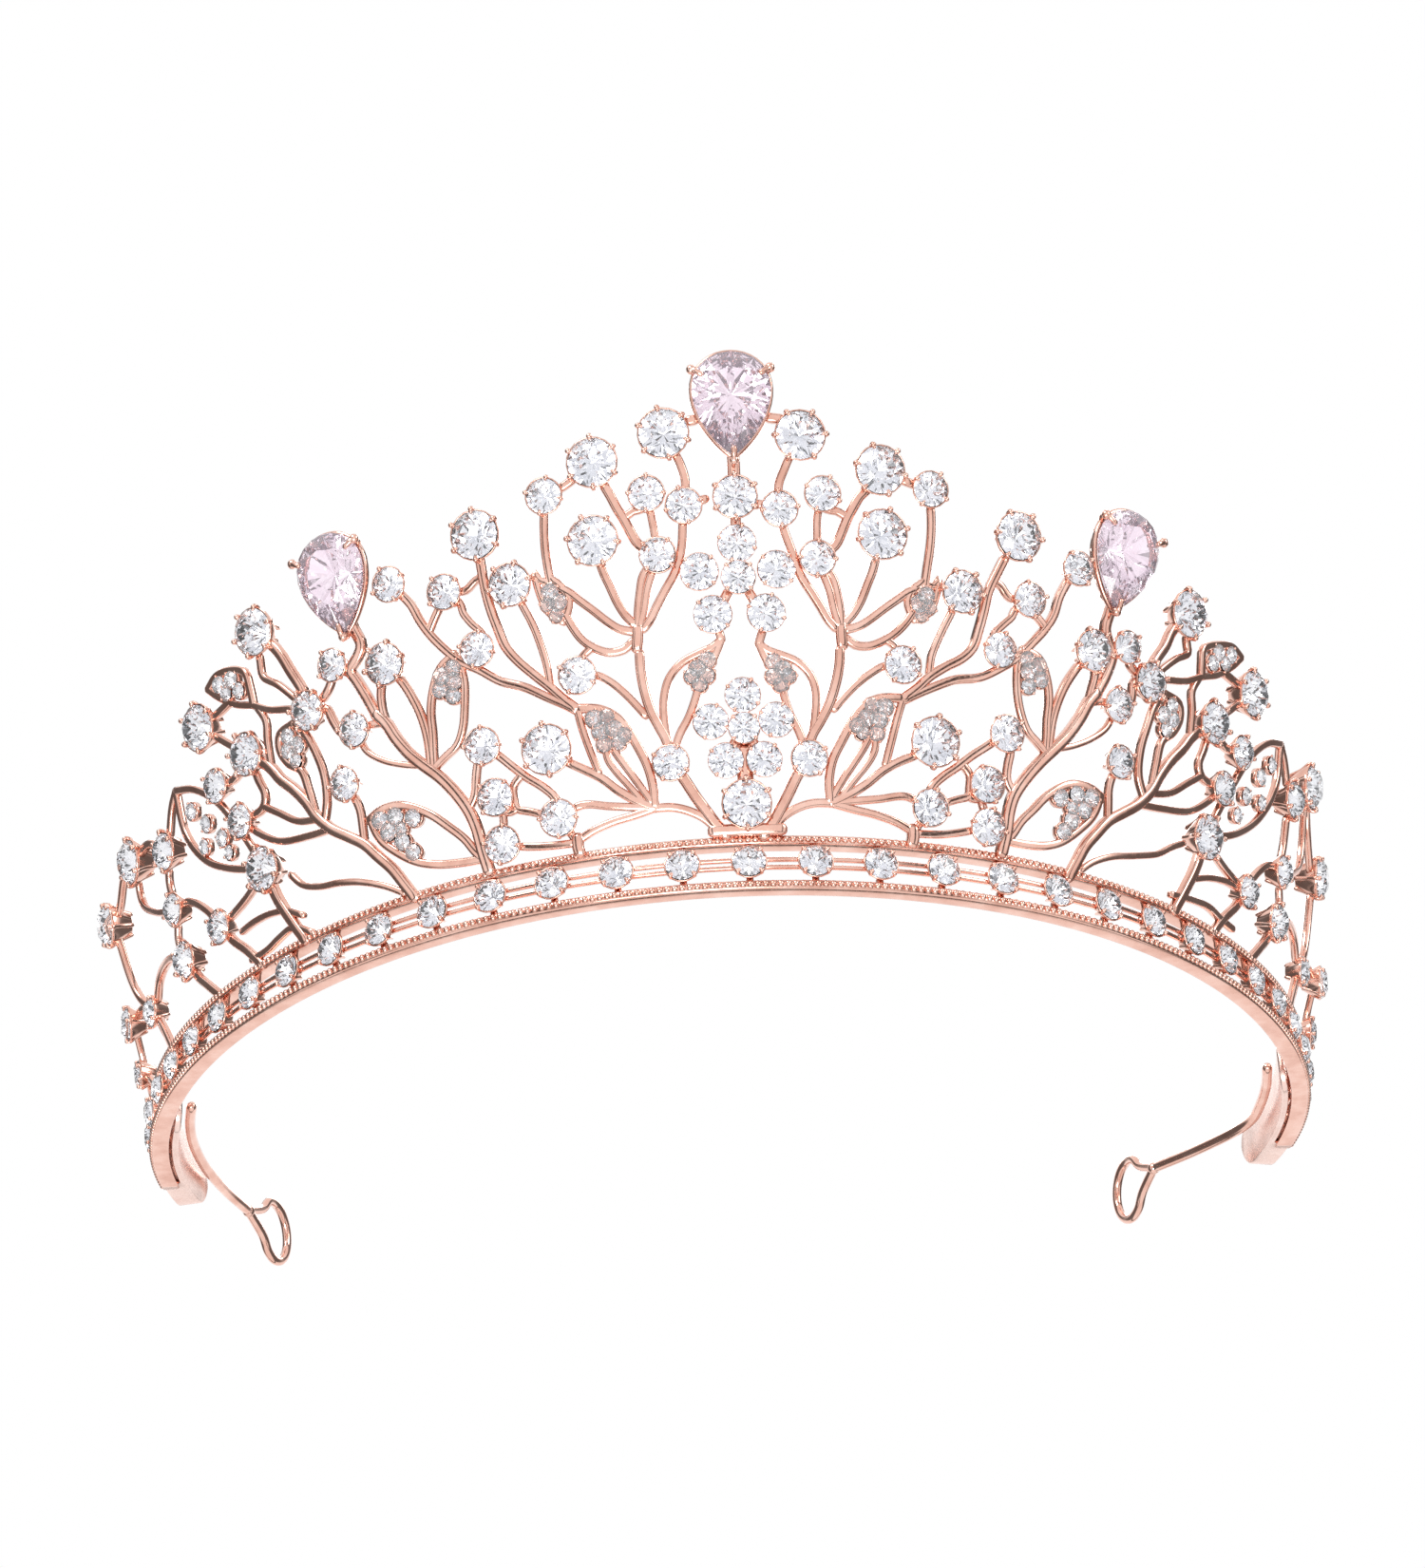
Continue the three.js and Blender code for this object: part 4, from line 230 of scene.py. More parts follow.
    ('outer', 1.7, [(-53.56, 40.46), (-51.14, 36.83), (-50.15, 34.12), (-49.05, 31.02), (-48.74, 28.41)], [(52.17, 38.46), (50.17, 35.41), (49.5, 33.44), (48.11, 30.75), (47.63, 28.26)]),
    ('outer', 1.2, [(-53.56, 40.46), (-54.12, 37.06), (-54.2, 35.05), (-52.43, 33.29), (-50.84, 31.28), (-48.74, 28.41)], [(52.17, 38.46), (52.94, 35.37), (53.38, 33.98), (51.74, 32.71), (49.99, 31.0), (47.63, 28.26)]),
    ('outer', 1.3, [(-63.68, 37.74), (-61.65, 38.49), (-59.39, 38.19), (-56.88, 36.79), (-56.63, 34.61), (-56.7, 32.44)], [(63.58, 37.59), (61.32, 38.0), (58.72, 37.21), (55.96, 35.49), (56.04, 33.87), (56.35, 32.12)]),
    ('outer', 1.2, [(-63.68, 37.74), (-61.77, 35.67), (-59.28, 33.72), (-56.7, 32.44)], [(63.58, 37.59), (61.62, 35.46), (59.03, 33.42), (56.35, 32.12)]),
    ('outer', 1.2, [(-56.7, 32.44), (-54.19, 30.8), (-51.32, 29.68), (-48.74, 28.41)], [(56.35, 32.12), (53.62, 30.55), (50.4, 29.5), (47.63, 28.26)]),
    ('outer', 1.2, [(-56.21, 31.97), (-55.43, 29.9), (-55.91, 27.67), (-56.3, 24.45)], [(55.84, 31.67), (55.04, 29.74), (55.61, 27.61), (55.9, 24.41)]),
    ('outer', 1.3, [(-66.53, 34.09), (-62.4, 34.3), (-60.38, 34.59)], [(66.53, 34.09), (62.33, 34.2), (60.16, 34.3)]),
    ('outer', 1.3, [(-66.53, 34.09), (-62.66, 30.27), (-59.34, 27.31)], [(66.53, 34.09), (62.61, 30.23), (59.34, 27.31)]),
    ('outer', 1.3, [(-65.94, 26.11), (-62.77, 25.66), (-59.34, 27.31)], [(65.94, 26.11), (62.75, 25.65), (59.34, 27.31)]),
    ('outer', 1.3, [(-59.34, 27.31), (-58.83, 23.78), (-58.37, 21.72), (-59.23, 20.38), (-63.07, 20.28)], [(59.34, 27.31), (58.73, 23.74), (58.21, 21.67), (59.15, 20.34), (63.07, 20.28)]),
    ('outer', 1.2, [(-59.15, 20.58), (-56.89, 18.81), (-54.11, 16.67), (-51.28, 15.84)], [(59.07, 20.54), (56.67, 18.71), (53.71, 16.44), (50.57, 15.39)]),
    ('outer', 1.2, [(-63.07, 20.28), (-60.98, 17.91), (-57.64, 15.52), (-52.96, 14.43), (-49.59, 14.05)], [(63.07, 20.28), (60.96, 17.89), (57.56, 15.47), (52.51, 14.13), (48.79, 13.52)]),
    ('side', 1.8, [(-57.5, 3.0), (-59.0, 6.0), (-60.5, 9.5), (-61.3, 13.4)], [(57.5, 3.0), (59.0, 6.0), (60.5, 9.5), (61.3, 13.4)]),
    ('side', 1.3, [(-61.3, 13.4), (-64.0, 19.5), (-67.0, 24.5), (-71.0, 28.0), (-75.5, 30.0)], [(61.3, 13.4), (65.17, 20.9), (69.0, 26.9), (73.0, 30.4), (77.5, 32.4)]),
    ('side', 1.3, [(-61.3, 13.4), (-68.0, 16.3), (-72.5, 19.5), (-75.5, 24.5), (-75.5, 30.0)], [(61.3, 13.4), (68.1, 16.42), (73.67, 20.9), (77.5, 26.9), (77.5, 32.4)]),
    ('side', 1.3, [(-75.5, 30.0), (-77.0, 28.5, 0.25), (-80.0, 24.0, 0.5)], [(77.5, 32.4), (79.0, 30.9, 0.2), (82.0, 26.8, 0.4)]),
    ('side', 1.5, [(-66.0, 3.0), (-68.0, 5.5), (-70.5, 8.0), (-72.0, 10.3)], [(66.0, 3.0), (68.0, 5.5), (70.5, 8.0), (72.0, 10.3)]),
    ('side', 1.2, [(-61.3, 13.4), (-66.0, 11.5), (-72.0, 10.3)], [(61.3, 13.4), (66.0, 11.5), (72.0, 10.3)]),
    ('side', 1.3, [(-72.0, 10.3), (-75.0, 14.0), (-78.5, 16.5), (-82.0, 17.0)], [(72.0, 10.3), (75.0, 14.0), (78.5, 16.5), (82.0, 17.0)]),
    ('side', 1.3, [(-82.0, 17.0), (-82.5, 20.5, 0.25), (-80.0, 24.0, 0.5)], [(82.0, 17.0), (82.5, 20.5, 0.2), (82.0, 26.8, 0.4)]),
    ('side', 1.4, [(-80.0, 24.0, 0.5), (-84.5, 27.2, 1.0), (-90.0, 27.5, 1.5)], [(82.0, 26.8, 0.4), (84.5, 27.2, 0.5), (91.0, 33.0, 0.6)]),
    ('side', 1.5, [(-76.0, 3.0), (-78.5, 5.5), (-80.5, 7.5), (-81.9, 10.2)], [(76.0, 3.0), (78.5, 5.5), (80.5, 7.5), (81.9, 10.2)]),
    ('side', 1.2, [(-81.9, 10.2), (-84.0, 13.5), (-82.0, 17.0)], [(81.9, 10.2), (84.0, 13.5), (82.0, 17.0)]),
    ('side', 1.4, [(-81.9, 10.2), (-88.0, 13.0), (-94.0, 13.0), (-98.5, 10.6)], [(81.9, 10.2), (88.0, 13.0), (94.0, 13.0), (98.5, 10.6)]),
    ('side', 1.5, [(-93.0, 3.0), (-95.0, 6.0), (-97.0, 8.5), (-98.5, 10.6)], [(93.0, 3.0), (95.0, 6.0), (97.0, 8.5), (98.5, 10.6)]),
    ('side', 1.4, [(-98.5, 10.6), (-101.0, 14.5, 1.8), (-101.0, 24.2, 3.6)], [(98.5, 10.6), (101.0, 14.5, 0.8), (100.5, 24.8, 1.6)]),
    ('side', 1.4, [(-101.0, 24.2, 3.6), (-98.0, 25.0, 2.9), (-94.0, 27.8, 2.2), (-90.0, 27.5, 1.5)], [(100.5, 24.8, 1.6), (98.0, 25.0, 1.27), (94.0, 27.8, 0.93), (91.0, 33.0, 0.6)]),
    ('side', 1.3, [(-98.5, 10.6), (-102.0, 12.8, 1.1), (-106.0, 12.5, 2.2)], [(98.5, 10.6), (102.0, 12.8, 1.1), (106.0, 12.5, 2.2)]),
    ('side', 1.4, [(-105.5, 3.0), (-107.5, 5.0, 0.6), (-111.0, 7.6, 1.2)], [(105.5, 3.0), (107.5, 5.0, 0.6), (111.0, 7.6, 1.2)]),
    ('side', 1.2, [(-111.0, 7.6, 1.2), (-109.5, 10.5, 1.7), (-106.0, 12.5, 2.2)], [(111.0, 7.6, 1.2), (109.5, 10.5, 1.7), (106.0, 12.5, 2.2)]),
    ('side', 1.2, [(-111.0, 7.6, 1.2), (-115.0, 7.2, 1.0), (-118.5, 5.4, 0.8)], [(111.0, 7.6, 1.2), (115.0, 7.2, 1.0), (118.5, 5.4, 0.8)]),
    ('side', 1.3, [(-117.0, 3.0), (-117.8, 4.2, 0.4), (-118.5, 5.4, 0.8)], [(117.0, 3.0), (117.8, 4.2, 0.4), (118.5, 5.4, 0.8)]),
    ('side', 1.2, [(-82.0, 17.0), (-88.0, 19.5, 0.5), (-92.0, 23.0, 1.0), (-90.0, 27.5, 1.5)], [(82.0, 17.0), (88.0, 19.5, 0.2), (92.0, 23.0, 0.4), (91.0, 33.0, 0.6)]),
    ('outer', 1.1, [(-41.69, 3.73), (-44.01, 5.22), (-47.11, 6.66), (-50.48, 7.67), (-53.38, 8.22), (-55.9, 9.37), (-57.31, 11.09)], [(41.48, 3.62), (42.99, 4.89), (45.69, 6.25), (49.35, 7.36), (53.18, 8.72), (55.46, 10.26), (57.4, 11.36)]),
    ('side', 1.1, [(-57.05, 5.99), (-59.48, 7.37), (-62.29, 8.09), (-65.29, 8.31), (-68.24, 8.16)], [(60.15, 7.74), (63.52, 9.02), (67.79, 9.95), (71.28, 10.04)]),
    ('side', 1.1, [(-56.21, 3.55), (-58.89, 5.12), (-61.67, 4.84), (-64.32, 4.29), (-67.74, 4.29)], [(56.69, 4.73), (60.74, 5.3), (64.39, 5.57), (67.2, 5.1), (70.4, 4.9)]),
]
PAVE = [
    ('centre', 1.9, (-3.46, 23.76), (3.31, 23.3)),
    ('centre', 1.9, (-4.47, 22.85), (4.26, 22.46)),
    ('centre', 1.9, (-3.65, 22.02), (3.38, 21.66)),
    ('centre', 1.7, (-4.38, 20.98), (4.03, 20.69)),
    ('centre', 1.7, (-5.1, 22.02), (4.82, 21.7)),
    ('wing', 2.0, (-18.64, 33.56), (19.04, 31.89)),
    ('wing', 2.0, (-17.92, 32.2), (18.3, 30.85)),
    ('wing', 1.7, (-19.0, 32.19), (19.38, 30.58)),
    ('wing', 1.6, (-18.28, 30.82), (18.61, 29.61)),
    ('inner', 2.0, (-15.7, 18.32), (15.12, 18.53)),
    ('inner', 1.8, (-14.38, 18.34), (13.78, 18.57)),
    ('inner', 2.0, (-15.15, 16.81), (14.54, 17.05)),
    ('inner', 2.0, (-13.73, 16.82), (13.12, 17.06)),
    ('inner', 1.8, (-14.91, 15.23), (14.32, 15.44)),
    ('inner', 1.7, (-12.69, 16.02), (12.09, 16.21)),
    ('inner', 1.6, (-13.38, 15.24), (12.78, 15.42)),
    ('mid', 2.1, (-31.53, 26.75), (32.45, 25.95)),
    ('mid', 1.9, (-30.1, 27.37), (30.98, 26.47)),
    ('mid', 2.1, (-30.37, 25.85), (31.28, 25.04)),
    ('mid', 1.9, (-32.03, 25.3), (32.93, 24.49)),
    ('mid', 1.8, (-30.66, 24.24), (31.52, 23.4)),
    ('mid', 2.1, (-42.59, 12.72), (41.5, 12.31)),
    ('mid', 2.1, (-40.54, 12.54), (39.42, 12.14)),
    ('mid', 2.0, (-38.3, 11.76), (37.26, 11.35)),
    ('mid', 2.1, (-41.81, 11.1), (40.69, 10.69)),
    ('mid', 2.0, (-40.25, 9.48), (39.17, 9.07)),
    ('mid', 1.9, (-39.21, 7.91), (38.29, 7.52)),
    ('mid', 1.6, (-40.16, 10.94), (39.03, 10.53)),
    ('outer', 1.9, (-52.54, 26.7), (51.77, 26.74)),
    ('outer', 2.0, (-51.49, 25.19), (50.71, 25.24)),
    ('outer', 1.9, (-53.04, 25.1), (52.27, 25.16)),
    ('outer', 1.8, (-52.13, 23.54), (51.37, 23.57)),
    ('outer', 2.0, (-61.31, 37.22), (61.03, 36.82)),
    ('outer', 2.1, (-59.1, 36.83), (58.53, 36.02)),
    ('outer', 1.9, (-60.39, 35.71), (60.1, 35.32)),
    ('outer', 1.9, (-58.26, 35.06), (57.8, 34.44)),
    ('side', 2.0, (-67.5, 20), (68.83, 21.6)),
    ('side', 2.0, (-70, 23), (72.0, 25.4)),
    ('side', 2.0, (-72.6, 25.8), (74.6, 28.2)),
    ('side', 1.7, (-66.8, 17.8), (67.4, 18.52)),
    ('side', 1.8, (-71.5, 20.6), (73.03, 22.44)),
]
COLUMN = [
  ['column_stone_top', 5.1, 0, 42.4],
  ['upper_flower_center', 3.8, 0, 33.0, 0.5],
  ['', 4.1, 0, 37.0],
  ['', 4.1, -3.75, 33.9],
  ['', 4.1, 3.75, 33.9],
  ['', 4.1, -2.65, 28.9],
  ['', 4.1, 2.65, 28.9],
  ['lower_flower_center', 3.5, 0, 15.7, 0.5],
  ['', 3.8, 0, 19.5],
  ['', 3.8, -3.45, 16.6],
  ['', 3.8, 3.45, 16.6],
  ['', 3.8, -2.05, 12.1],
  ['', 3.8, 2.05, 12.1],
  ['column_stone_base', 5.7, 0, 7.1],
]
PEARS = [
  ['pear_stone_center', 'centre', 0, 0, 53.4, 0],
  ['pear_stone_left', 'mid', -1, -41.5, 41.6, 0.02],
  ['pear_stone_right', 'mid', 1, 41.4, 41.5, -0.11],
]

# ------------------------------------------------------------------ mesh building
class Piece:
    def __init__(self, name):
        self.name, self.v, self.f, self.m, self.s = name, [], [], [], []

    def add(self, verts, faces, mat=0, smooth=True):
        k = len(self.v)
        self.v.extend([tuple(float(c) * .001 for c in p) for p in verts])
        for f in faces:
            self.f.append([i + k for i in f])
            self.m.append(mat)
            self.s.append(smooth)

    def done(self, mats, replaces=()):
        me = bpy.data.meshes.new(self.name)
        me.from_pydata(self.v, [], self.f)
        for m in mats:
            me.materials.append(m)
        me.polygons.foreach_set("material_index", self.m)
        me.polygons.foreach_set("use_smooth", self.s)
        me.validate()
        me.update()
        ob = bpy.data.objects.new(self.name, me)
        bpy.context.scene.collection.objects.link(ob)
        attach(ob, "root")
        if replaces:
            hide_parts(*replaces)
        return ob


def rings(piece, rs, mat=0, smooth=True, cap0=True, cap1=True, loop=False):
    """Skins a list of rings with the same number of points into a closed body."""
    n = len(rs[0])
    verts = [p for r in rs for p in r]
    faces = []
    last = len(rs) if loop else len(rs) - 1
    for i in range(last):
        a, b = i * n, ((i + 1) % len(rs)) * n
        for j in range(n):
            k = (j + 1) % n
            faces.append([a + j, a + k, b + k, b + j])
    if not loop:
        if cap0:
            verts.append(np.mean(rs[0], axis=0)); c = len(verts) - 1
            faces += [[c, (j + 1) % n, j] for j in range(n)]
        if cap1:
            verts.append(np.mean(rs[-1], axis=0)); c = len(verts) - 1
            b = (len(rs) - 1) * n
            faces += [[c, b + j, b + (j + 1) % n] for j in range(n)]
    piece.add(verts, faces, mat, smooth)


def section(n, w, t, power=0.75):
    out = []
    for i in range(n):
        a = 2 * math.pi * (i + .5) / n
        c, s = math.cos(a), math.sin(a)
        out.append((math.copysign(abs(c) ** power, c) * w / 2, math.copysign(abs(s) ** power, s) * t / 2))
    return out


def tube(piece, pts, ups, w, t, n=10, mat=0, power=0.75, round_ends=True, taper=None, closed=False):
    """A bar of oval section along pts; w lies across the wall's surface, t stands out of it."""
    pts = [np.array(p, float) for p in pts]
    m = len(pts)
    rs = []
    sec0 = section(n, 1.0, 1.0, power)
    for i in range(m):
        if closed:
            T = unit(pts[(i + 1) % m] - pts[i - 1])
        else:
            T = unit(pts[min(i + 1, m - 1)] - pts[max(i - 1, 0)])
        U = ups[i] - T * ups[i].dot(T)
        U = unit(U)
        S = np.cross(T, U)
        k = taper(i / max(1, m - 1)) if taper else 1.0
        ww = (w(i / max(1, m - 1)) if callable(w) else w) * k
        tt = (t(i / max(1, m - 1)) if callable(t) else t) * k
        rs.append((pts[i], T, S, U, ww, tt))
    out = []
    if round_ends and not closed:
        p, T, S, U, ww, tt = rs[0]
        e = min(ww, tt) * .5
        out.append([p - T * e + S * x * ww * .45 + U * y * tt * .45 for x, y in sec0])
        out.append([p - T * e * .7 + S * x * ww * .78 + U * y * tt * .78 for x, y in sec0])
    for p, T, S, U, ww, tt in rs:
        out.append([p + S * x * ww + U * y * tt for x, y in sec0])
    if round_ends and not closed:
        p, T, S, U, ww, tt = rs[-1]
        e = min(ww, tt) * .5
        out.append([p + T * e * .7 + S * x * ww * .78 + U * y * tt * .78 for x, y in sec0])
        out.append([p + T * e + S * x * ww * .45 + U * y * tt * .45 for x, y in sec0])
    out = [list(reversed(r)) for r in out]
    rings(piece, out, mat, True, loop=closed)


def catmull(points, step):
    """Centripetal curve through points given as tuples; returns points about step apart."""
    P = [np.array(p, float) for p in points]
    q = [P[0]]
    for p in P[1:]:
        if np.linalg.norm(p - q[-1]) > .25:
            q.append(p)
    P = q
    if len(P) < 2:
        return P
    if len(P) == 2:
        n = max(2, int(np.linalg.norm(P[1] - P[0]) / step))
        return [P[0] + (P[1] - P[0]) * i / n for i in range(n + 1)]
    ext = [P[0] * 2 - P[1]] + P + [P[-1] * 2 - P[-2]]
    out = []
    for i in range(1, len(ext) - 2):
        p0, p1, p2, p3 = ext[i - 1], ext[i], ext[i + 1], ext[i + 2]
        t0 = 0.0
        t1 = t0 + max(1e-3, np.linalg.norm(p1 - p0)) ** .5
        t2 = t1 + max(1e-3, np.linalg.norm(p2 - p1)) ** .5
        t3 = t2 + max(1e-3, np.linalg.norm(p3 - p2)) ** .5
        n = max(1, int(round(np.linalg.norm(p2 - p1) / step)))
        for k in range(n):
            t = t1 + (t2 - t1) * k / n
            A1 = (t1 - t) / (t1 - t0) * p0 + (t - t0) / (t1 - t0) * p1
            A2 = (t2 - t) / (t2 - t1) * p1 + (t - t1) / (t2 - t1) * p2
            A3 = (t3 - t) / (t3 - t2) * p2 + (t - t2) / (t3 - t2) * p3
            B1 = (t2 - t) / (t2 - t0) * A1 + (t - t0) / (t2 - t0) * A2
            B2 = (t3 - t) / (t3 - t1) * A2 + (t - t1) / (t3 - t1) * A3
            out.append((t2 - t) / (t2 - t1) * B1 + (t - t1) / (t2 - t1) * B2)
    out.append(P[-1])
    return out


def ball(piece, c, r, mat=0, squash=1.0, axis=None, seg=8, rows=5):
    c = np.array(c, float)
    z = unit(axis) if axis is not None else np.array([0, 0, 1.0])
    x = unit(np.cross(z, [0.3, 0.9, 0.2])); y = np.cross(z, x)
    rs = []
    for i in range(1, rows):
        a = math.pi * i / rows
        rr, zz = r * math.sin(a), -r * math.cos(a) * squash
        rs.append([c + x * rr * math.cos(2 * math.pi * j / seg) + y * rr * math.sin(2 * math.pi * j / seg) + z * zz for j in range(seg)])
    n = seg
    verts = [p for q in rs for p in q]
    faces = []
    for i in range(len(rs) - 1):
        for j in range(n):
            k = (j + 1) % n
            faces.append([i * n + j, i * n + k, (i + 1) * n + k, (i + 1) * n + j])
    verts += [c - z * r * squash, c + z * r * squash]
    a, b = len(verts) - 2, len(verts) - 1
    faces += [[a, (j + 1) % n, j] for j in range(n)]
    faces += [[b, (len(rs) - 1) * n + j, (len(rs) - 1) * n + (j + 1) % n] for j in range(n)]
    piece.add(verts, faces, mat, True)


def lathe(piece, fr, profile, n=18, mat=0, smooth=True):
    """Turns (radius, z) pairs round the frame's z; the first and last radius are 0."""
    rs = [[fr.at((r * math.cos(2 * math.pi * j / n), r * math.sin(2 * math.pi * j / n), z)) for j in range(n)] for r, z in profile[1:-1]]
    verts = [p for q in rs for p in q]
    faces = []
    for i in range(len(rs) - 1):
        for j in range(n):
            k = (j + 1) % n
            faces.append([i * n + j, i * n + k, (i + 1) * n + k, (i + 1) * n + j])
    verts += [fr.at((0, 0, profile[0][1])), fr.at((0, 0, profile[-1][1]))]
    a, b = len(verts) - 2, len(verts) - 1
    faces += [[a, (j + 1) % n, j] for j in range(n)]
    faces += [[b, (len(rs) - 1) * n + j, (len(rs) - 1) * n + (j + 1) % n] for j in range(n)]
    piece.add(verts, faces, mat, smooth)


def gem(piece, fr, outline, n, zg, crown, pav, table=.56, mid=.80, glass=0, foil=1, lower=.30, girdle=.12, keel=None, foil_from=0.0):
    """A cut stone. outline(u, k) gives the point at turn u (0..1) and scale k in the frame's plane."""
    def ring(k, half, z, m):
        return [fr.at((*outline((j + half) / m, k), z)) for j in range(m)]
    T = ring(table, 0, zg + crown, n)
    M = ring(mid, .5, zg + crown * .62, n)
    G = ring(1.0, 0, zg + girdle / 2, 2 * n)
    H = ring(1.0, 0, zg - girdle / 2, 2 * n)
    L = ring(lower, .5, zg - girdle / 2 - pav * (1 - lower) * .93, n)
    verts = T + M + G + H + L
    t0, m0, g0, h0, l0 = 0, n, 2 * n, 4 * n, 6 * n
    top = [list(range(n))]
    for j in range(n):
        k, p = (j + 1) % n, (j - 1) % n
        top.append([t0 + j, m0 + j, t0 + k])
        top.append([t0 + j, m0 + p, g0 + 2 * j, m0 + j])
        top.append([m0 + j, g0 + 2 * j, g0 + 2 * j + 1])
        top.append([m0 + j, g0 + 2 * j + 1, g0 + (2 * j + 2) % (2 * n)])
    for j in range(2 * n):
        k = (j + 1) % (2 * n)
        top.append([g0 + j, h0 + j, h0 + k, g0 + k])
    low = []
    if keel is None:
        verts.append(fr.at((*outline(0, 0), zg - girdle / 2 - pav)))
        c = len(verts) - 1
        tip = [c] * n
    else:
        k0 = len(verts)
        for q in keel:
            verts.append(fr.at((q[0], q[1], zg - girdle / 2 - pav * q[2])))
        tip = None
        c = k0
        tip = [c] * n
    for j in range(n):
        p = (j - 1) % n
        low.append([l0 + j, h0 + 2 * j + 1, h0 + 2 * j])
        low.append([l0 + j, h0 + (2 * j + 2) % (2 * n), h0 + 2 * j + 1])
        low.append([tip[j], l0 + j, h0 + 2 * j, l0 + p])
    k = len(piece.v)
    piece.v.extend([tuple(float(c) * .001 for c in p) for p in verts])
    for f in top:
        piece.f.append([i + k for i in f]); piece.m.append(glass); piece.s.append(False)
    for f in low:
        piece.f.append([i + k for i in f]); piece.m.append(foil); piece.s.append(False)


def round_outline(R, turn=0.0):
    def o(u, k):
        a = 2 * math.pi * u + turn
        return (R * k * math.cos(a), R * k * math.sin(a))
    return o


_pw = max(math.sin(a) * math.sin(a / 2) ** .72 for a in np.linspace(0, math.pi, 400))


def pear_outline(W, L, c=1.3):
    def o(u, k):
        a = 2 * math.pi * u
        sx = math.sin(a if a <= math.pi else 2 * math.pi - a)
        x = W / 2 * sx * abs(math.sin(a / 2)) ** .72 / _pw * (1 if a <= math.pi else -1)
        y = -L / 2 * math.cos(a)
        # a blunter tip
        y = max(y, -L / 2) if abs(x) > 1e-9 else y
        return (x * k, c + (y - c) * k)
    return o


rng = random.Random(7)


def brilliant(piece, fr, d, zg=SEAT, small=False):
    turn = rng.uniform(0, math.pi)
    f = fr.tilted(rng.uniform(-.035, .035), rng.uniform(-.035, .035))
    R = d / 2
    gem(piece, f, round_outline(R, turn), 6 if small else 8, zg, R * .40, R * .80, table=.50 if small else .54, mid=.78, girdle=R * .06, lower=.34)


def claw(piece, fr, a, R, zg, tip=.36, base=.55, reach=.30, z0=-.9, top=.30, th=.62):
    """One claw: up the cup's side, bent over the edge of the stone, ending in a rounded tip."""
    c, s = math.cos(a), math.sin(a)
    prof = [(R * base, z0), (R * (base + 1) / 2 + .15, zg - R * .42), (R + reach * .75, zg - .18), (R + reach, zg + .12), (R + reach * .45, zg + top), (R - .16, zg + top + .08)]
    pts = [fr.at((r * c, r * s, z)) for r, z in prof]
    pts = catmull(pts, .34)
    out = fr.x * c + fr.y * s
    ups = [out] * len(pts)
    tube(piece, pts, ups, th, th * .85, n=7, power=.9, taper=lambda u: 1.0 if u < .7 else 1.0 - .25 * (u - .7) / .3)
    ball(piece, fr.at(((R + reach * .45) * c, (R + reach * .45) * s, zg + top + .02)), tip, squash=.85, axis=fr.z, seg=8, rows=5)


def setting(piece, fr, d, claws, zg=SEAT, wall_t=.2, tip=.36, reach=.3, deep=None, start=.5):
    R = d / 2
    zb = zg - (deep if deep else R * .98 + .3)
    lathe(piece, fr, [(0, zb), (R * .46, zb), (R * .52, zb + .12), (R + wall_t * .7, zg - R * .16), (R + wall_t, zg - .10), (R + wall_t * .6, zg + .0), (R + .02, zg - .02), (R * .985, zg - R * .14), (R * .36, zg - R * .70), (0, zg - R * .92)], n=20)
    for i in range(claws):
        claw(piece, fr, (i + start) / claws * 2 * math.pi, R, zg, tip=tip, reach=reach, z0=zb + .1, th=.62 if d > 4.5 else .5)


HUBS = []
for _n, _sp, _d, _l, _r in HEADS:
    for _q in (_l, _r):
        HUBS.append((wall(_q[0], _q[1]), _d / 2 * (.86 if _d > 4.9 else .78)))
for _row in COLUMN:
    HUBS.append((wall(_row[2], _row[3]), _row[1] / 2 * .8))


def stem(piece, pts, width, scale=1.0, clip=True):
    """A cast stem along the wall; it stops at the cup of any stone it meets."""
    P = catmull([(p[0], p[1], p[2] if len(p) > 2 else 0.0) for p in pts], .5)
    if len(P) < 2:
        return
    W = [wall(*p) for p in P]
    ups = [unit(wall(p[0], p[1], p[2] + 1) - w) for p, w in zip(P, W)]
    free = [not (clip and any(np.linalg.norm(w - c) < r for c, r in HUBS)) for w in W]
    w = width * .80 * scale
    run = []
    for i in range(len(W) + 1):
        if i < len(W) and free[i]:
            run.append(i)
            continue
        if len(run) > 1:
            tube(piece, [W[k] for k in run], [ups[k] for k in run], w, max(.95, w * .92), n=12, power=.58)
        run = []


def pave(piece, gems, s, h, d):
    fr = wall_frame(s, h)
    R = d / 2
    R *= 1.08
    lathe(piece, fr, [(0, -.62), (R * .9, -.62), (R + .12, -.45), (R + .18, .1), (R + .14, .34), (R + .02, .36), (R * .97, .2), (R * .4, -.22), (0, -.42)], n=14)
    a0 = rng.uniform(0, 1.5)
    for i in range(4):
        a = a0 + i * math.pi / 2
        ball(piece, fr.at(((R + .05) * math.cos(a), (R + .05) * math.sin(a), .48)), .2, seg=6, rows=4)
    f = fr.tilted(rng.uniform(-.08, .08), rng.uniform(-.08, .08))
    gem(gems, f, round_outline(R, a0), 6, .5, R * .36, R * .62, table=.5, mid=.78, girdle=.06, lower=.34, glass=2)

# ------------------------------------------------------------------ materials
def material(name):
    m = bpy.data.materials.new(name)
    m.use_nodes = True
    nt = m.node_tree
    return m, nt, nt.nodes["Principled BSDF"], nt.nodes, nt.links


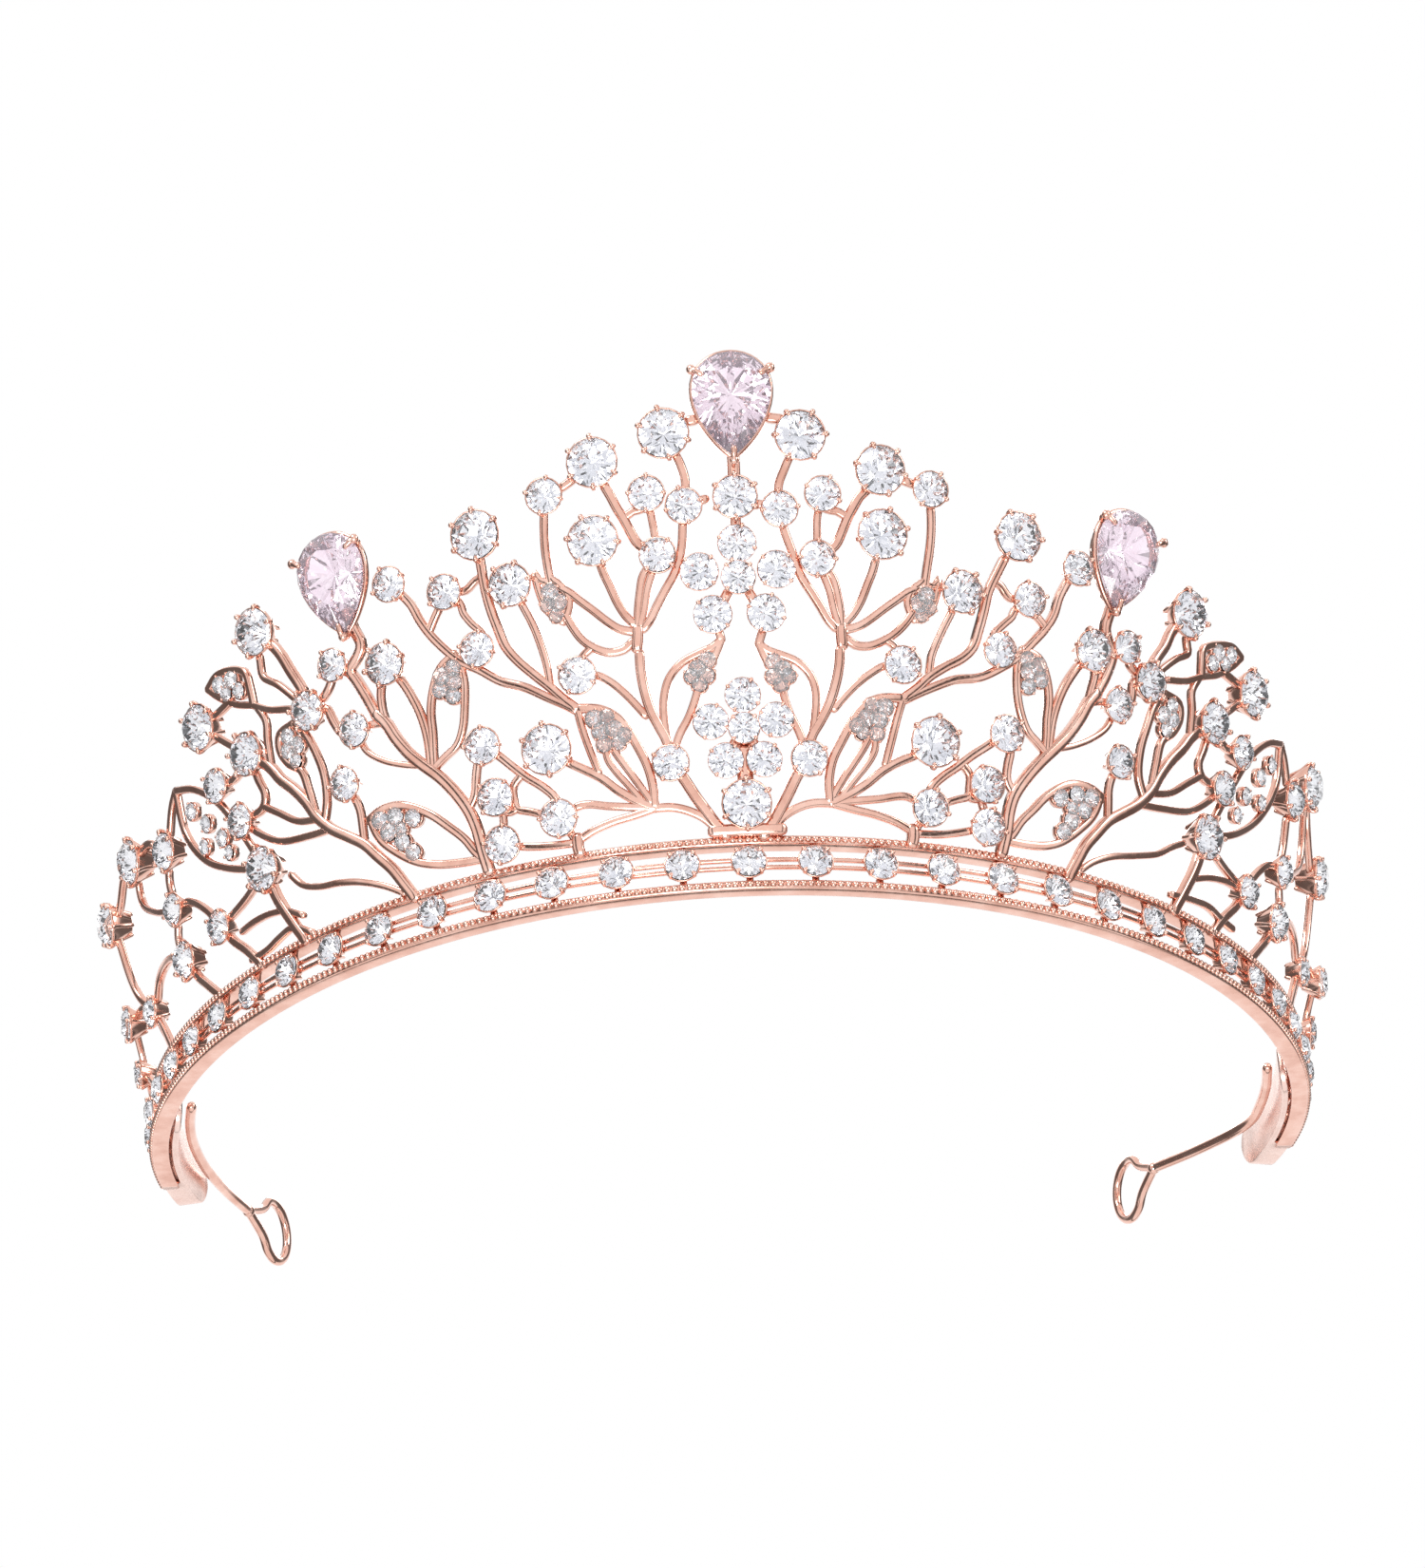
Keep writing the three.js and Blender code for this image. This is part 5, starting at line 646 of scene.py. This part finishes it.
def noise(nt, scale, detail=3.0, rough=.5):
    tc = nt.nodes.new("ShaderNodeTexCoord")
    n = nt.nodes.new("ShaderNodeTexNoise")
    n.inputs["Scale"].default_value = scale
    n.inputs["Detail"].default_value = detail
    n.inputs["Roughness"].default_value = rough
    nt.links.new(tc.outputs["Object"], n.inputs["Vector"])
    return n


def ramp(nt, fac, stops):
    r = nt.nodes.new("ShaderNodeValToRGB")
    e = r.color_ramp.elements
    e[0].position, e[0].color = stops[0][0], (*stops[0][1], 1)
    e[1].position, e[1].color = stops[-1][0], (*stops[-1][1], 1)
    for p, c in stops[1:-1]:
        x = e.new(p); x.color = (*c, 1)
    nt.links.new(fac, r.inputs["Fac"])
    return r


def spread(nt, fac, lo, hi):
    r = nt.nodes.new("ShaderNodeMapRange")
    r.inputs["From Min"].default_value, r.inputs["From Max"].default_value = .3, .7
    r.inputs["To Min"].default_value, r.inputs["To Max"].default_value = lo, hi
    nt.links.new(fac, r.inputs["Value"])
    return r


def gold(name, dark, mid, light, r0, r1, bump=.25):
    m, nt, b, nodes, links = material(name)
    n1 = noise(nt, 260, 4, .6)
    n2 = noise(nt, 2600, 2, .5)
    c = ramp(nt, n1.outputs["Fac"], [(.25, dark), (.5, mid), (.75, light)])
    links.new(c.outputs["Color"], b.inputs["Base Color"])
    b.inputs["Metallic"].default_value = 1.0
    r = spread(nt, n2.outputs["Fac"], r0, r1)
    links.new(r.outputs["Result"], b.inputs["Roughness"])
    bp = nodes.new("ShaderNodeBump")
    bp.inputs["Strength"].default_value = bump
    bp.inputs["Distance"].default_value = .00006
    links.new(n1.outputs["Fac"], bp.inputs["Height"])
    links.new(bp.outputs["Normal"], b.inputs["Normal"])
    return m


def crystal(name, lo, hi, ior, rough=.012, clear=1.0):
    m, nt, b, nodes, links = material(name)
    n = noise(nt, 420, 2, .5)
    c = ramp(nt, n.outputs["Fac"], [(.35, lo), (.65, hi)])
    links.new(c.outputs["Color"], b.inputs["Base Color"])
    b.inputs["Transmission Weight"].default_value = clear
    b.inputs["IOR"].default_value = ior
    b.inputs["Roughness"].default_value = rough
    return m


def foil(name):
    m, nt, b, nodes, links = material(name)
    n = noise(nt, 900, 2, .5)
    c = ramp(nt, n.outputs["Fac"], [(.3, (.80, .81, .85)), (.7, (.95, .95, .97))])
    links.new(c.outputs["Color"], b.inputs["Base Color"])
    b.inputs["Metallic"].default_value = 1.0
    r = spread(nt, n.outputs["Fac"], .03, .10)
    links.new(r.outputs["Result"], b.inputs["Roughness"])
    return m


GOLD = gold("rose_gold_polished", (.66, .35, .27), (.80, .48, .39), (.90, .62, .53), .09, .18)
GOLD_SOFT = gold("rose_gold_satin_strip", (.82, .56, .49), (.88, .65, .58), (.93, .73, .67), .22, .34, .15)
GLASS = crystal("clear_stone", (.95, .96, .98), (1.0, .99, 1.0), 1.60, .012, .94)
GLASS_SMALL = crystal("pave_stone", (.92, .92, .94), (1.0, .99, 1.0), 1.60, .02, .80)
BLUSH = crystal("blush_stone", (.84, .68, .80), (.92, .80, .89), 1.72, .02, .80)
FOIL = foil("stone_back_foil")
BLUSH_BACK = crystal("blush_stone_back", (.90, .76, .87), (.95, .86, .94), 1.78, .03)

# ------------------------------------------------------------------ band
def rail(name, z0, node):
    p = Piece(name)
    b = .28
    prof = []
    hw, hh = RAIL_DEPTH / 2, RAIL_H / 2
    for cx, cz, a0 in ((hw - b, hh - b, 0), (-hw + b, hh - b, 90), (-hw + b, -hh + b, 180), (hw - b, -hh + b, 270)):
        for k in range(4):
            a = math.radians(a0 + k * 30)
            prof.append((cx + b * math.cos(a), cz + b * math.sin(a)))
    ss = np.linspace(-RAIL_END, RAIL_END, 221)
    rs = [[plan_point(s, o, z0 + hh + z) for o, z in prof] for s in ss]
    rings(p, [list(reversed(r)) for r in rs], 0, True)
    # beaded edge: one row of grains along the front face
    pitch = .86
    k = int(RAIL_END / pitch)
    for i in range(-k, k + 1):
        s = i * pitch
        ball(p, plan_point(s, hw - .02, z0 + hh), .43, squash=1.0, axis=np.array([0, 0, 1.0]), seg=7, rows=5)
    return p.done([GOLD], (node,))


rail("lower_rail", RAIL_LOW_Z, "band_lower_rail")
rail("upper_rail", RAIL_UP_Z, "band_upper_rail")

chain = Piece("cup_chain")
chain_gems = Piece("band_stones")
R = BAND_STONE_D / 2
for i in range(-BAND_STONES, BAND_STONES + 1):
    f = band_frame(i * BAND_PITCH, .35)
    setting(chain, f, 3.75, 4, zg=.95, wall_t=.22, tip=.30, reach=.12, deep=1.75, start=.5)
    brilliant(chain_gems, f, 3.8, zg=1.0)
for i in range(-BAND_STONES, BAND_STONES):
    for dz in (-.48, .48):
        ss = np.linspace(i * BAND_PITCH + 1.5, (i + 1) * BAND_PITCH - 1.5, 7)
        pts = [plan_point(s, .55, (RAIL_LOW_Z + RAIL_H + RAIL_UP_Z) / 2 + dz) for s in ss]
        ups = [band_frame(s).z for s in ss]
        tube(chain, pts, ups, .55, .62, n=8)
# little posts that join each cup to both rails
for i in range(-BAND_STONES, BAND_STONES + 1):
    s = i * BAND_PITCH
    for z0, z1 in ((RAIL_LOW_Z + RAIL_H - .15, 1.9), (4.9, RAIL_UP_Z + .15)):
        if abs(s) > RAIL_END - 1:
            continue
        pts = [plan_point(s, .1, z) for z in np.linspace(z0, z1, 4)]
        tube(chain, pts, [band_frame(s).z] * 4, .9, .9, n=8)
chain.done([GOLD], ("band_cup_chain",))
chain_gems.done([GLASS, FOIL], ())


# ------------------------------------------------------------------ end strips and wire loops
def end_tab(side, tag):
    p = Piece("inner_strip_" + tag)
    inner = -RAIL_DEPTH / 2 - GAP - TAB_T
    z0, z1 = .25, RAIL_UP_Z + RAIL_H - .05
    zc, hz = (z0 + z1) / 2, (z1 - z0) / 2
    b = .26
    rs = []
    ss = list(np.linspace(TAB_START, 122.6, 26)) + [123.2, 123.8, 124.3] + list(np.linspace(124.6, TAB_END - hz, 8))
    ss += [TAB_END - hz + hz * math.sin(math.radians(a)) for a in (15, 30, 45, 58, 70, 79, 86)]
    for s in ss:
        g = (s - TAB_START) / 2.0
        out = inner + TAB_T if s < 123 else inner + TAB_T + (0.9 - inner - TAB_T) * min(1, (s - 123) / 1.4) ** .7
        h = hz * (math.sqrt(max(0.01, 1 - ((s - (TAB_END - hz)) / hz) ** 2)) if s > TAB_END - hz else min(1, .55 + .45 * math.sin(min(1, g) * math.pi / 2)))
        r = []
        bb = min(b, h * .6)
        for cx, cz, a0 in ((out - bb, h - bb, 0), (inner + bb, h - bb, 90), (inner + bb, -h + bb, 180), (out - bb, -h + bb, 270)):
            for k in range(4):
                a = math.radians(a0 + k * 30)
                r.append(plan_point(side * s, cx + bb * math.cos(a), zc + cz + bb * math.sin(a)))
        rs.append(r)
    if side > 0:
        rs = [list(reversed(r)) for r in rs]
    rings(p, rs, 0, True)
    p.done([GOLD_SOFT], ("end_tab_" + tag,))


# each end loop in plan: where its leg leaves the band, the neck, the middle of the ring
LOOPS = {-1: ([(68.9, 86.5), (67.2, 94.5)], (64.8, 102.4), (61.9, 110.2)), 1: ([(68.0, 86.0), (63.6, 93.0)], (58.6, 99.2), (56.2, 106.6))}


def end_loop(side, tag):
    p = Piece("wire_loop_" + tag)
    legs, neck, mid = LOOPS[side]
    start = []
    for s in (106, 112, 118, 124):
        x, y, th = plan(s)
        off = -RAIL_DEPTH / 2 - 2 * GAP - TAB_T - LOOP_WIRE / 2 - .45
        start.append((x + math.sin(th) * off, y - math.cos(th) * off, 4.2))
    (nx, ny), (cx, cy), nz = neck, mid, 4.9
    far = math.hypot(cx - nx, cy - ny)
    dx, dy = (cx - nx) / far, (cy - ny) / far
    leg = start + [(*legs[0], 4.4), (*legs[1], 4.7), (nx, ny, nz)]
    mir = lambda q: np.array([side * q[0], q[1], q[2]]) + SHIFT
    P = [mir(q) for q in catmull(leg, 1.0)]
    tube(p, P, [np.array([0, 0, 1.0])] * len(P), 1.35, 1.35, n=12, power=1.0)
    ring = []
    for i in range(13):
        a = math.pi + i / 12 * 2 * math.pi
        c, s = math.cos(a), math.sin(a)
        e = i in (0, 12)
        reach = far + .1 if e else LOOP_R
        ring.append((cx + dx * c * reach, cy + dy * c * reach, nz + s * LOOP_R * (0 if e else 1)))
    Q = [mir(q) for q in catmull(ring, .6)]
    tube(p, Q, [np.array([side * dy, -dx, 0.0])] * len(Q), 1.25, 1.25, n=12, power=1.0)
    ball(p, mir((nx, ny, nz)), .86, seg=12, rows=8)
    p.done([GOLD], ("end_loop_" + tag,))


for side, tag in ((-1, "left"), (1, "right")):
    end_tab(side, tag)
    end_loop(side, tag)

# ------------------------------------------------------------------ crest
LABEL = {"centre": "centre_motif", "wing": "crest_wing", "inner": "inner_spray", "mid": "mid_spray", "outer": "outer_spray", "side": "side_spray"}


def pear_set(metal, name, fr):
    zg = SEAT + .35
    o = pear_outline(PEAR_W, PEAR_L, 1.3)
    # two gallery wires under the stone and three claws
    for k, z, t in ((1.0, zg - .75, .62), (.74, zg - 2.55, .62)):
        pts = [fr.at((*o(j / 44, k), z)) for j in range(44)]
        tube(metal, pts, [fr.z] * 44, t, t * 1.25, n=8, closed=True)
    for u, ext in ((.355, .0), (.645, .0), (0.0, 0.0)):
        q = np.array(o(u, 1.0)); d = q - np.array([0, 1.3]); d = d / np.linalg.norm(d)
        lo = np.array(o(u, .74))
        prof = [(lo[0], lo[1], zg - 2.9), (lo[0] * .5 + q[0] * .5, lo[1] * .5 + q[1] * .5, zg - 1.6), (q[0] + d[0] * .35, q[1] + d[1] * .35, zg - .5), (q[0] + d[0] * .55, q[1] + d[1] * .55, zg + .2), (q[0] + d[0] * .2, q[1] + d[1] * .2, zg + .75), (q[0] - d[0] * .75, q[1] - d[1] * .75, zg + .95)]
        pts = [fr.at(v) for v in catmull(prof, .35)]
        out = fr.x * d[0] + fr.y * d[1]
        tube(metal, pts, [out] * len(pts), .95, .85, n=9, power=.85, taper=lambda t: 1 - .3 * t)
        ball(metal, fr.at((q[0] + d[0] * .5, q[1] + d[1] * .5, zg + .42)), .62, squash=.9, axis=fr.z, seg=10, rows=6)
    for j in range(5):
        u = (.14, .25, .5, .75, .86)[j]
        a, b = o(u, .74), o(u, 1.0)
        pts = [fr.at((a[0], a[1], zg - 2.55)), fr.at(((a[0] + b[0]) / 2, (a[1] + b[1]) / 2, zg - 1.7)), fr.at((b[0], b[1], zg - .8))]
        tube(metal, pts, [fr.z] * 3, .6, .6, n=7, round_ends=False)
    g = Piece(name.replace("pear_stone", "pear_crystal"))
    gem(g, fr, o, 12, zg, 1.75, 3.6, table=.56, mid=.80, girdle=.3, lower=.34)
    g.done([BLUSH, BLUSH_BACK], (name,))


def big_stone(name, fr, d, rename=None):
    g = Piece(name + "_cut")
    brilliant(g, fr, d)
    g.done([GLASS, FOIL], (name,))


def spray(kind, side):
    tag = "" if side == 0 else ("_left" if side < 0 else "_right")
    node = LABEL[kind] + tag
    metal = Piece(node + "_metal")
    gems = Piece(node + "_stones")
    for sd in ((-1, 1) if kind == "centre" else (side,)):
        pick = 2 if sd < 0 else 3
        for st in STEMS:
            if st[0] == kind:
                stem(metal, st[pick], st[1])
        for sp, d, L, Rr in PAVE:
            if sp == kind:
                q = L if sd < 0 else Rr
                pave(metal, gems, q[0], q[1], d)
        for name, sp, d, L, Rr in HEADS:
            if sp != kind:
                continue
            q = L if sd < 0 else Rr
            fr = wall_frame(q[0], q[1], q[2] if len(q) > 2 else 0.0)
            if name:
                dd = d * .91
                setting(metal, fr, dd, 6, tip=.36, reach=.34, start=rng.random())
                big_stone(name + ("_left" if sd < 0 else "_right"), fr, dd)
            else:
                dd = d * (.93 if d > 4.9 else .97)
                big = d > 4.9
                setting(metal, fr, dd, 6 if big else 4, tip=.35 if big else .30, reach=.32 if big else .22, start=rng.random())
                brilliant(gems, fr, dd)
    for name, sp, sd, s, h, lean in PEARS:
        if sp == kind and (kind == "centre" or sd == side):
            pear_set(metal, name, wall_frame(s, h - .3, 0, lean))
    if kind == "centre":
        stem(metal, [(-3.8, 4.15), (0, 4.15), (3.8, 4.15)], 1.9)
        stem(metal, [(0, 47.6, -.3), (0, 44.2, -.3)], 1.9)
        stem(metal, [(0, 37, -.6), (0, 42.4, -.6)], 1.6)
        stem(metal, [(0, 9.5, -.5), (0, 13.5, -.5)], 2.4)
        for sd in (-1, 1):
            stem(metal, [(sd * 7.6, 51), (sd * 3.4, 51.6)], 1.5)
            stem(metal, [(sd * 2.3, 28.9, -.5), (sd * .8, 32, -.5)], 1.5)
            stem(metal, [(sd * 2.0, 12.1, -.5), (sd * .6, 15, -.5)], 1.5)
        for row in COLUMN:
            name, d, s, h = row[:4]
            fr = wall_frame(s, h, row[4] if len(row) > 4 else 0.0)
            if name in ("column_stone_top", "column_stone_base"):
                dd = d * .95
                setting(metal, fr, dd, 6, tip=.36, reach=.34, start=.5)
                big_stone(name, fr, dd)
            elif name:
                setting(metal, fr, d, 4, tip=.28, reach=.05, wall_t=.12, start=.5)
                big_stone(name, fr, d)
            else:
                setting(metal, fr, d * 1.04, 4, tip=.26, reach=.02, wall_t=.12, start=.5 + rng.random() * .3)
                brilliant(gems, fr, d * 1.05)
    metal.done([GOLD], (node,))
    if gems.v:
        gems.done([GLASS, FOIL, GLASS_SMALL], ())


spray("centre", 0)
for side in (-1, 1):
    for kind in ("wing", "inner", "mid", "outer", "side"):
        spray(kind, side)

# ------------------------------------------------------------------ stage, light, camera
def plane(name, size, z):
    me = bpy.data.meshes.new(name)
    a = size / 2
    me.from_pydata([(-a, -a, z), (a, -a, z), (a, a, z), (-a, a, z)], [], [[0, 1, 2, 3]])
    ob = bpy.data.objects.new(name, me)
    bpy.context.scene.collection.objects.link(ob)
    return ob


floor = plane("floor", 6.0, -.0002)
m, nt, b, nodes, links = material("pale_floor")
b.inputs["Base Color"].default_value = (.86, .86, .87, 1)
b.inputs["Roughness"].default_value = .7
b.inputs["Specular IOR Level"].default_value = .2
geo = nodes.new("ShaderNodeNewGeometry")
lp = nodes.new("ShaderNodeLightPath")
inv = nodes.new("ShaderNodeMath"); inv.operation = "SUBTRACT"; inv.inputs[0].default_value = 1.0
links.new(geo.outputs["Backfacing"], inv.inputs[1])
mul = nodes.new("ShaderNodeMath"); mul.operation = "MULTIPLY"
links.new(inv.outputs[0], mul.inputs[0]); links.new(lp.outputs["Is Camera Ray"], mul.inputs[1])
tr = nodes.new("ShaderNodeBsdfTransparent")
mx = nodes.new("ShaderNodeMixShader")
links.new(mul.outputs[0], mx.inputs[0]); links.new(tr.outputs[0], mx.inputs[1]); links.new(b.outputs[0], mx.inputs[2])
links.new(mx.outputs[0], nodes["Material Output"].inputs["Surface"])
floor.data.materials.append(m)

world = bpy.data.worlds.new("studio")
bpy.context.scene.world = world
world.use_nodes = True
nt = world.node_tree
bg = nt.nodes["Background"]
tc = nt.nodes.new("ShaderNodeTexCoord")
sep = nt.nodes.new("ShaderNodeSeparateXYZ")
nt.links.new(tc.outputs["Generated"], sep.inputs[0])


def mth(op, a, b=None, c=None):
    n = nt.nodes.new("ShaderNodeMath"); n.operation = op
    for i, v in enumerate((a, b, c)):
        if v is None:
            continue
        if isinstance(v, (int, float)):
            n.inputs[i].default_value = v
        else:
            nt.links.new(v, n.inputs[i])
    return n.outputs[0]


X, Y, Z = sep.outputs
az = mth("ARCTAN2", X, mth("MULTIPLY", Y, -1.0))          # 0 in front of the tiara
# dark flags at the two sides and narrow grey ones between, which give polished edges and facets their dark lines


def dip(v, lo, hi, floor_value):
    n = nt.nodes.new("ShaderNodeMapRange"); n.interpolation_type = "SMOOTHSTEP"
    n.inputs["From Min"].default_value, n.inputs["From Max"].default_value = lo, hi
    n.inputs["To Min"].default_value, n.inputs["To Max"].default_value = floor_value, 1.0
    nt.links.new(v, n.inputs["Value"])
    return n.outputs["Result"]


off_side = mth("ABSOLUTE", mth("SUBTRACT", mth("ABSOLUTE", az), 1.85))
at_45 = mth("ABSOLUTE", mth("SUBTRACT", mth("ABSOLUTE", az), .70))
flag = mth("MULTIPLY", dip(off_side, .46, .66, .14), dip(at_45, .06, .15, .06))
el = nt.nodes.new("ShaderNodeMapRange"); el.interpolation_type = "SMOOTHSTEP"
el.inputs["From Min"].default_value, el.inputs["From Max"].default_value = .45, .75
el.inputs["To Min"].default_value, el.inputs["To Max"].default_value = 0.0, 1.0
nt.links.new(mth("ABSOLUTE", Z), el.inputs["Value"])
side_light = mth("MULTIPLY", flag, mth("SUBTRACT", 1.0, el.outputs["Result"]))
cap = mth("MULTIPLY", el.outputs["Result"], .95)
ring_dark = nt.nodes.new("ShaderNodeMapRange"); ring_dark.interpolation_type = "SMOOTHSTEP"
rz = mth("ABSOLUTE", mth("SUBTRACT", mth("ABSOLUTE", Z), .62))
ring_dark.inputs["From Min"].default_value, ring_dark.inputs["From Max"].default_value = .02, .09
ring_dark.inputs["To Min"].default_value, ring_dark.inputs["To Max"].default_value = .12, 1.0
nt.links.new(rz, ring_dark.inputs["Value"])
total = mth("MULTIPLY", mth("ADD", side_light, cap), ring_dark.outputs["Result"])
wl = nt.nodes.new("ShaderNodeLightPath")
mixv = nt.nodes.new("ShaderNodeMix"); mixv.data_type = "FLOAT"
nt.links.new(wl.outputs["Is Camera Ray"], mixv.inputs[0])
nt.links.new(mth("MULTIPLY", total, 1.12), mixv.inputs[2])
mixv.inputs[3].default_value = 1.0
bg.inputs["Color"].default_value = (1, 1, 1, 1)
nt.links.new(mixv.outputs[0], bg.inputs["Strength"])


def area(name, loc, target, size, power, color=(1, 1, 1)):
    l = bpy.data.lights.new(name, "AREA")
    l.shape = "RECTANGLE"; l.size, l.size_y = size
    l.energy, l.color = power, color
    ob = bpy.data.objects.new(name, l)
    bpy.context.scene.collection.objects.link(ob)
    ob.location = loc
    d = Vector(target) - Vector(loc)
    ob.rotation_euler = d.to_track_quat("-Z", "Y").to_euler()
    ob.visible_camera = False
    return ob


area("key", (-.55, -.75, .75), (0, 0, .03), (.5, .35), 5.0)
area("fill", (.7, -.5, .35), (0, 0, .03), (.3, .5), 2.2)
area("back", (.1, .8, .6), (0, 0, .03), (.6, .3), 3.0)
area("under", (-.1, -.55, -.45), (0, -.03, .03), (.35, .25), 2.2)

cam = bpy.data.cameras.new("camera")
cam.sensor_fit = "VERTICAL"
cam.sensor_height = 36.0
cam.sensor_width = 36.0
cam.lens = 4079.0889 / 1650 * 36.0
cam.clip_start, cam.clip_end = .01, 20
ob = bpy.data.objects.new("camera", cam)
bpy.context.scene.collection.objects.link(ob)
Rt = Vector((.998487, -.023516, -.049711)).normalized()
Fw = Vector((.044213, .880820, .471382)).normalized()
Up = Rt.cross(Fw).normalized()
Rt = Fw.cross(Up).normalized()
ob.matrix_world = Matrix(((Rt.x, Up.x, -Fw.x, -0.022291), (Rt.y, Up.y, -Fw.y, -0.436221), (Rt.z, Up.z, -Fw.z, -0.195423), (0, 0, 0, 1)))
bpy.context.scene.camera = ob
bpy.context.scene.view_settings.view_transform = "Standard"
